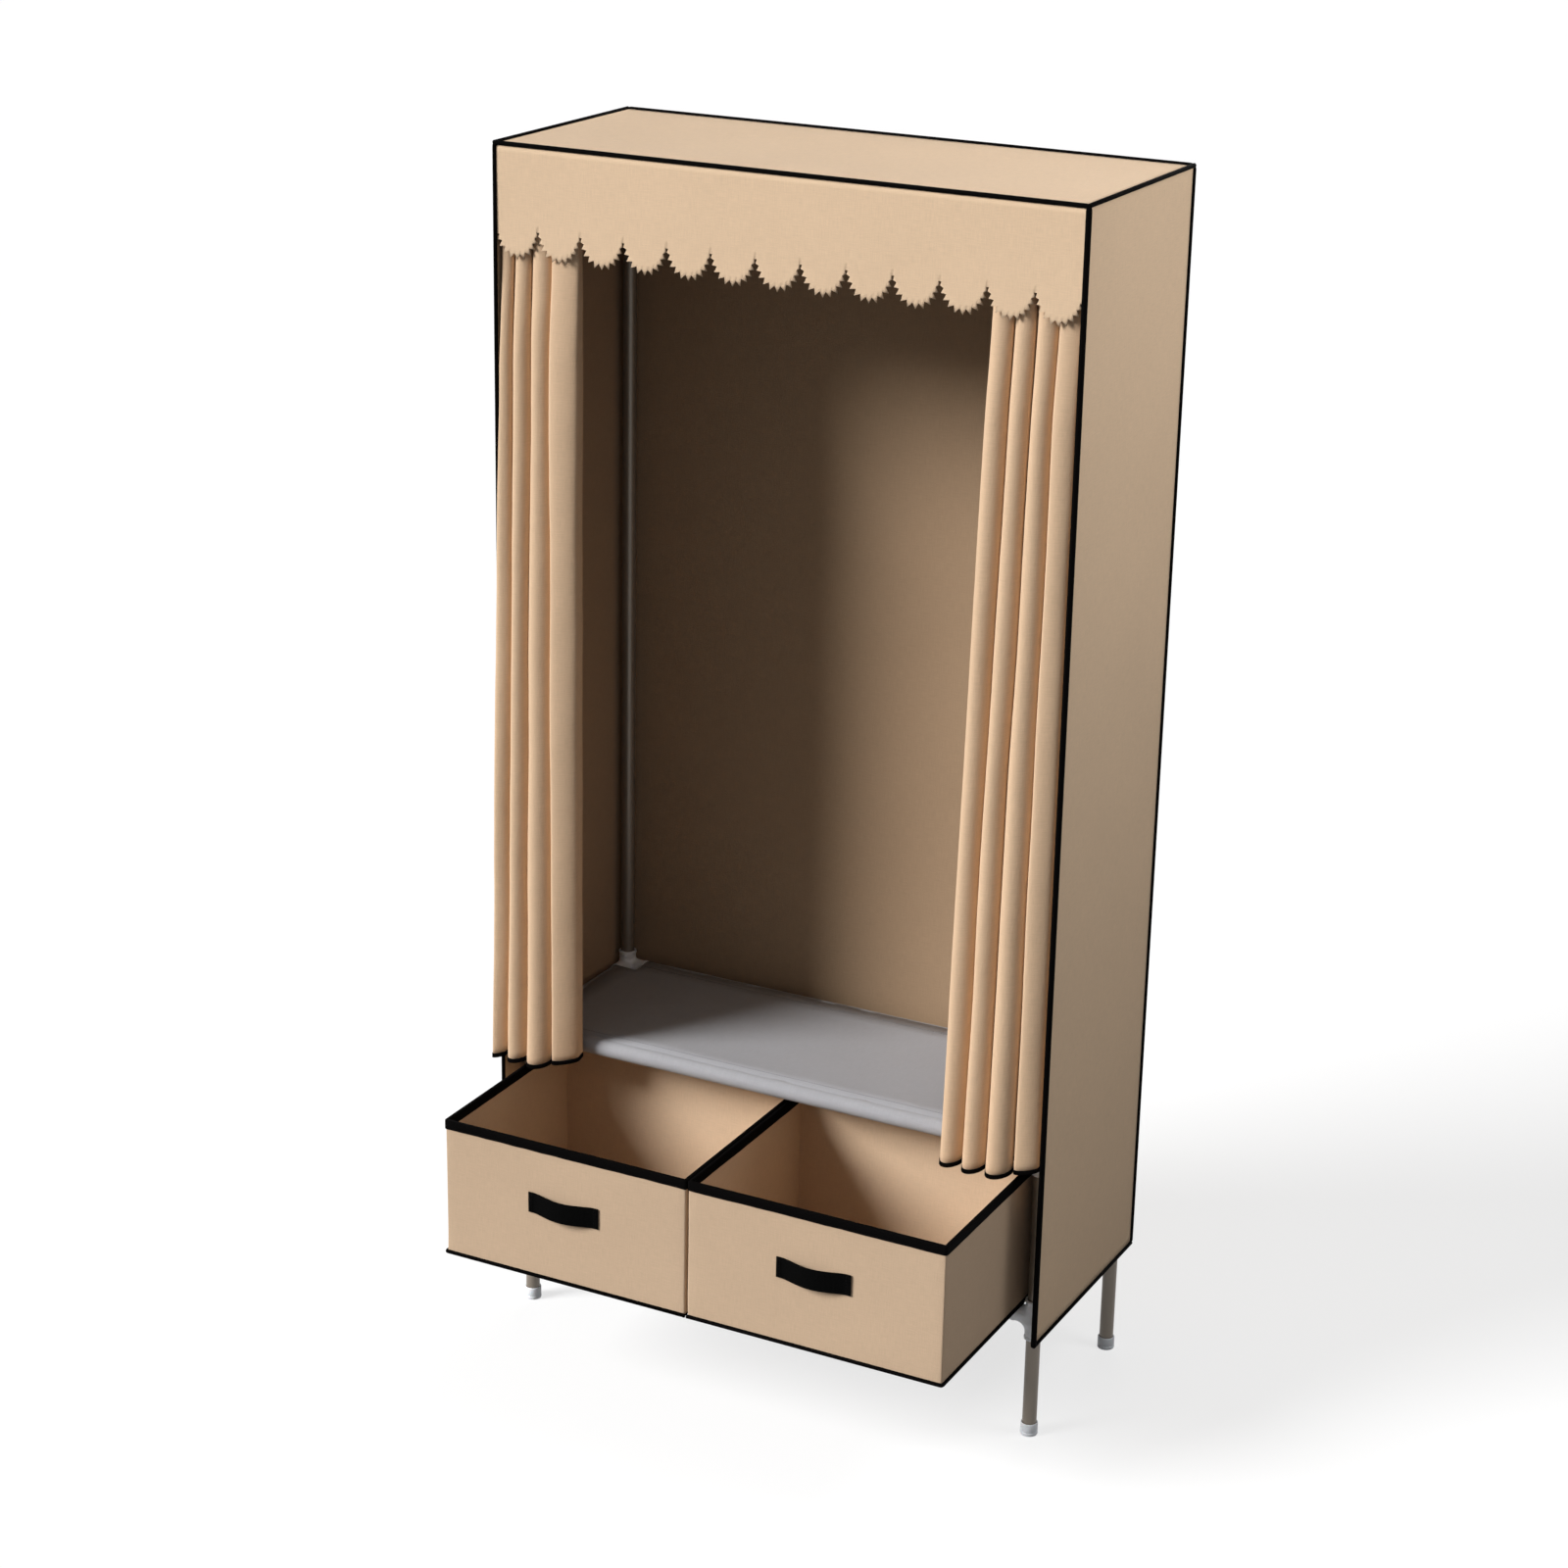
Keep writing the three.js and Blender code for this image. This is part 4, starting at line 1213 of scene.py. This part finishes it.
def drawer_binding(body, shell, rim):
    """Tape folded over the top edge of the walls, and its row of stitches."""
    rim_low, rim_high = low(rim), high(rim)
    loop, outward = plan_loop(rim_low, rim_high, BINDING_CORNER)
    width = 2 * (low(shell)[0] - rim_low[0]) + WALL_THICKNESS
    top, bottom = rim_high[2], rim_high[2] - BINDING_REACH
    edge = BINDING_THICKNESS
    outer_face = [
        (edge, bottom + BINDING_LIP),
        (edge * 0.25, bottom),
        (0, bottom + edge * 0.5),
        (0, top - edge),
        (edge * 0.35, top - edge * 0.3),
        (edge, top),
    ]
    inner_face = [(width - inset, z) for inset, z in outer_face[::-1]]
    fold = outer_face + inner_face + [(width - edge, top - edge), (edge, top - edge)]
    wobble = ripple(distances(loop), 0, SEEDS[body + "_binding"], BINDING_RIPPLE)
    rows = []
    for inset, z in fold + fold[:1]:
        uneven = wobble * (z < (top + bottom) / 2)
        rows.append(np.column_stack([loop - outward * inset, z + uneven]))
    tape = Shape()
    tape.lattice(np.array(rows), closed=True)
    piece(
        body + "_binding_tape", tape, [TRIM_CLOTH], "black_trim", body=body, stands_for=[rim],
        crisp=CRISP_TAPE,
    )
    threads = Shape()
    line = np.column_stack([loop + outward * STITCH_LIFT, np.full(len(loop), bottom + BINDING_SEAM)])
    stitch_row_round(threads, line, outward)
    piece(body + "_binding_stitches", threads, [BLACK_THREAD], "black_trim", body=body)


def bottom_piping(body, shell, side):
    """Piping round a drawer's bottom, as a cord round three sides and one along the inner side."""
    lowest, highest = low(shell), high(shell)
    front, rear = lowest[1] - BOTTOM_STANDOFF, highest[1] + BOTTOM_STANDOFF
    inner, outer = (highest[0], lowest[0]) if side < 0 else (lowest[0], highest[0])
    tip, far = inner - side * PIPING_ROOM, outer + side * BOTTOM_STANDOFF
    inside = inner + side * (BOTTOM_PIPING - PIPING_ROOM)
    z = lowest[2] + BOTTOM_PIPING
    cord = circle(BOTTOM_PIPING, BOTTOM_SIDES)
    corners = [(tip, front, z), (far, front, z), (far, rear, z), (tip, rear, z)]
    shape = Shape()
    shape.sweep(rounded_path(corners, DRAWER_CORNER), cord)
    shape.sweep([(inside, front, z), (inside, rear, z)], cord)
    piece(body + "_bottom_piping", shape, [TRIM_CLOTH], "black_trim", body=body)


def stitch_row_round(shape, line, outward):
    """Stitches along the straight runs of a closed line, each lifted along its own normal."""
    turns = np.abs(np.diff(np.vstack([outward, outward[:1]]), axis=0)).sum(1)
    run = []
    for point, normal, turn in zip(line, outward, turns):
        run.append(point)
        if turn > SAME_PLACE:
            if len(run) > 2:
                stitch_row(shape, run, (*normal, 0))
            run = []
    if len(run) > 2:
        stitch_row(shape, run, (*outward[-1], 0))


def padded_board(body, node):
    """A stiff board wrapped in lining, with soft edges."""
    lowest, highest = low(node), high(node)
    edge = (highest[2] - lowest[2]) / 2
    levels = []
    for turn in np.radians(np.linspace(-90, 90, BOARD_ROWS)):
        inset = edge * (1 - math.cos(turn))
        loop, _ = plan_loop(lowest + inset, highest - inset, BOARD_CORNER)
        levels.append(np.column_stack([loop, np.full(len(loop), lowest[2] + edge + edge * math.sin(turn))]))
    count = min(len(level) for level in levels)
    shape = Shape()
    bottom = shape.lattice(np.array([level[:count] for level in levels]), closed=True)
    for start in (bottom, bottom + (BOARD_ROWS - 1) * count):
        ring = range(start, start + count)
        shape.face(ring, [shape.vertices[i][:2] for i in ring])
    piece(body + "_board_cover", shape, [DRAWER_LINING], "lining_cloth", body=body, stands_for=[node])


def handle(body, node):
    """A webbing strap that bows between its sewn ends, each with a box of stitches and a cross in it."""
    lowest, highest = low(node), high(node)
    centre = middle(node)
    half = (highest[0] - lowest[0]) / 2
    back = highest[1] - STRAP_THICKNESS / 2
    bow = highest[1] - lowest[1] - STRAP_THICKNESS
    path = []
    for x in np.linspace(-half, half, STRAP_POINTS):
        share = np.clip(x / (half - STRAP_SEWN), -1, 1)
        swell = ((1 + math.cos(math.pi * share)) / 2) ** STRAP_FULLNESS
        path.append((centre[0] + x, back - STRAP_BOW * bow * swell, centre[2]))
    rise, thick = (highest[2] - lowest[2]) / 2, STRAP_THICKNESS / 2
    section, _ = plan_loop((-thick, -rise), (thick, rise), STRAP_EDGE)
    strap = Shape()
    strap.sweep(path, section)
    piece(
        body + "_strap", strap, [STRAP_WEB], "black_trim", body=body, stands_for=[node],
        crisp=CRISP_CLOTH,
    )
    threads = Shape()
    y = lowest[1] + bow - STITCH_SINK
    for end in (-1, 1):
        near = centre[0] + end * (half - STRAP_SEAM)
        far = centre[0] + end * (half - STRAP_SEWN + STRAP_SEAM)
        corners = [(x, y, z) for x in (near, far) for z in (highest[2] - STRAP_SEAM, lowest[2] + STRAP_SEAM)]
        for pair in itertools.combinations(corners, 2):
            stitch_row(threads, pair, (0, -1, 0))
    piece(body + "_strap_stitches", threads, [BLACK_THREAD], "black_trim", body=body)


# Floor, light and camera
def grey(level):
    return (level, level, level, 1)


def shown_by_ray(tree, hidden, seen, output):
    """Gives one shader to the camera's, reflected and refracted rays, and the other to all the rest."""
    path = tree.nodes.new("ShaderNodeLightPath")
    total = path.outputs["Is Camera Ray"]
    for kind in ("Is Glossy Ray", "Is Transmission Ray"):
        either = tree.nodes.new("ShaderNodeMath")
        either.operation = "MAXIMUM"
        tree.links.new(total, either.inputs[0])
        tree.links.new(path.outputs[kind], either.inputs[1])
        total = either.outputs[0]
    mix = tree.nodes.new("ShaderNodeMixShader")
    for socket, value in zip(mix.inputs, (total, hidden.outputs[0], seen.outputs[0])):
        tree.links.new(value, socket)
    tree.links.new(mix.outputs[0], tree.nodes[output].inputs["Surface"])


def make_floor():
    """A pale floor, which the camera and reflections see as white wherever no shadow falls on it."""
    bpy.ops.mesh.primitive_plane_add(size=FLOOR_SIZE)
    floor = bpy.context.object
    floor.name = "floor"
    material = bpy.data.materials.new("pale_floor")
    material.use_nodes = True
    tree = material.node_tree
    matt = tree.nodes["Principled BSDF"]
    matt.inputs["Base Color"].default_value = grey(FLOOR_COLOUR)
    matt.inputs["Roughness"].default_value = FLOOR_ROUGHNESS
    matt.inputs["Specular IOR Level"].default_value = 0.0
    shaded = tree.nodes.new("ShaderNodeBsdfDiffuse")
    shaded.inputs["Color"].default_value = grey(FLOOR_SHADE)
    glow = tree.nodes.new("ShaderNodeEmission")
    glow.inputs["Strength"].default_value = FLOOR_GLOW
    white = tree.nodes.new("ShaderNodeAddShader")
    tree.links.new(shaded.outputs[0], white.inputs[0])
    tree.links.new(glow.outputs[0], white.inputs[1])
    shown_by_ray(tree, matt, white, "Material Output")
    floor.data.materials.append(material)


def make_lamp(name, kind, back, **settings):
    """A lamp whose back points this way."""
    data = bpy.data.lights.new(name, kind)
    for key, value in settings.items():
        setattr(data, key, value)
    lamp = placed(name, data)
    lamp.rotation_euler = Vector(back).to_track_quat("Z", "Y").to_euler()
    return lamp


def make_light():
    world = bpy.data.worlds.new("studio")
    bpy.context.scene.world = world
    world.use_nodes = True
    tree = world.node_tree
    soft = tree.nodes["Background"]
    soft.inputs["Color"].default_value = grey(1)
    soft.inputs["Strength"].default_value = AMBIENT
    white = tree.nodes.new("ShaderNodeBackground")
    white.inputs["Color"].default_value = grey(1)
    shown_by_ray(tree, soft, white, "World Output")
    for name, back, strength, spread in SUNS:
        make_lamp(name, "SUN", back, energy=strength * math.pi, angle=math.radians(spread))
    back = Vector(SIDE_PLACE) - Vector(SIDE_AIM)
    side_lamp = make_lamp("side", "AREA", back, energy=SIDE_POWER, size=SIDE_SIZE)
    side_lamp.location = SIDE_PLACE


def make_camera():
    data = bpy.data.cameras.new("camera")
    data.sensor_width = SENSOR_WIDTH
    data.lens = FOCAL_PIXELS / PHOTO_PIXELS * SENSOR_WIDTH
    data.clip_end = CAMERA_REACH
    camera = placed("camera", data)
    back = Vector(
        (
            math.sin(CAMERA_AZIMUTH) * math.cos(CAMERA_ELEVATION),
            -math.cos(CAMERA_AZIMUTH) * math.cos(CAMERA_ELEVATION),
            math.sin(CAMERA_ELEVATION),
        )
    )
    turn = back.to_track_quat("Z", "Y").to_matrix() @ Matrix.Rotation(CAMERA_ROLL, 3, "Z")
    camera.matrix_world = Matrix.Translation(CAMERA_PLACE) @ turn.to_4x4()
    bpy.context.scene.camera = camera


make_camera()
make_frame()
make_piping()
make_cover()
make_valance()
for side_name, side in SIDES.items():
    curtain(side_name, side)
    drawer(side_name, side)
deck("shelf_fabric", "shelf")
deck("base_fabric", "base")
make_floor()
make_light()

scene = bpy.context.scene
scene.view_settings.view_transform = "Standard"
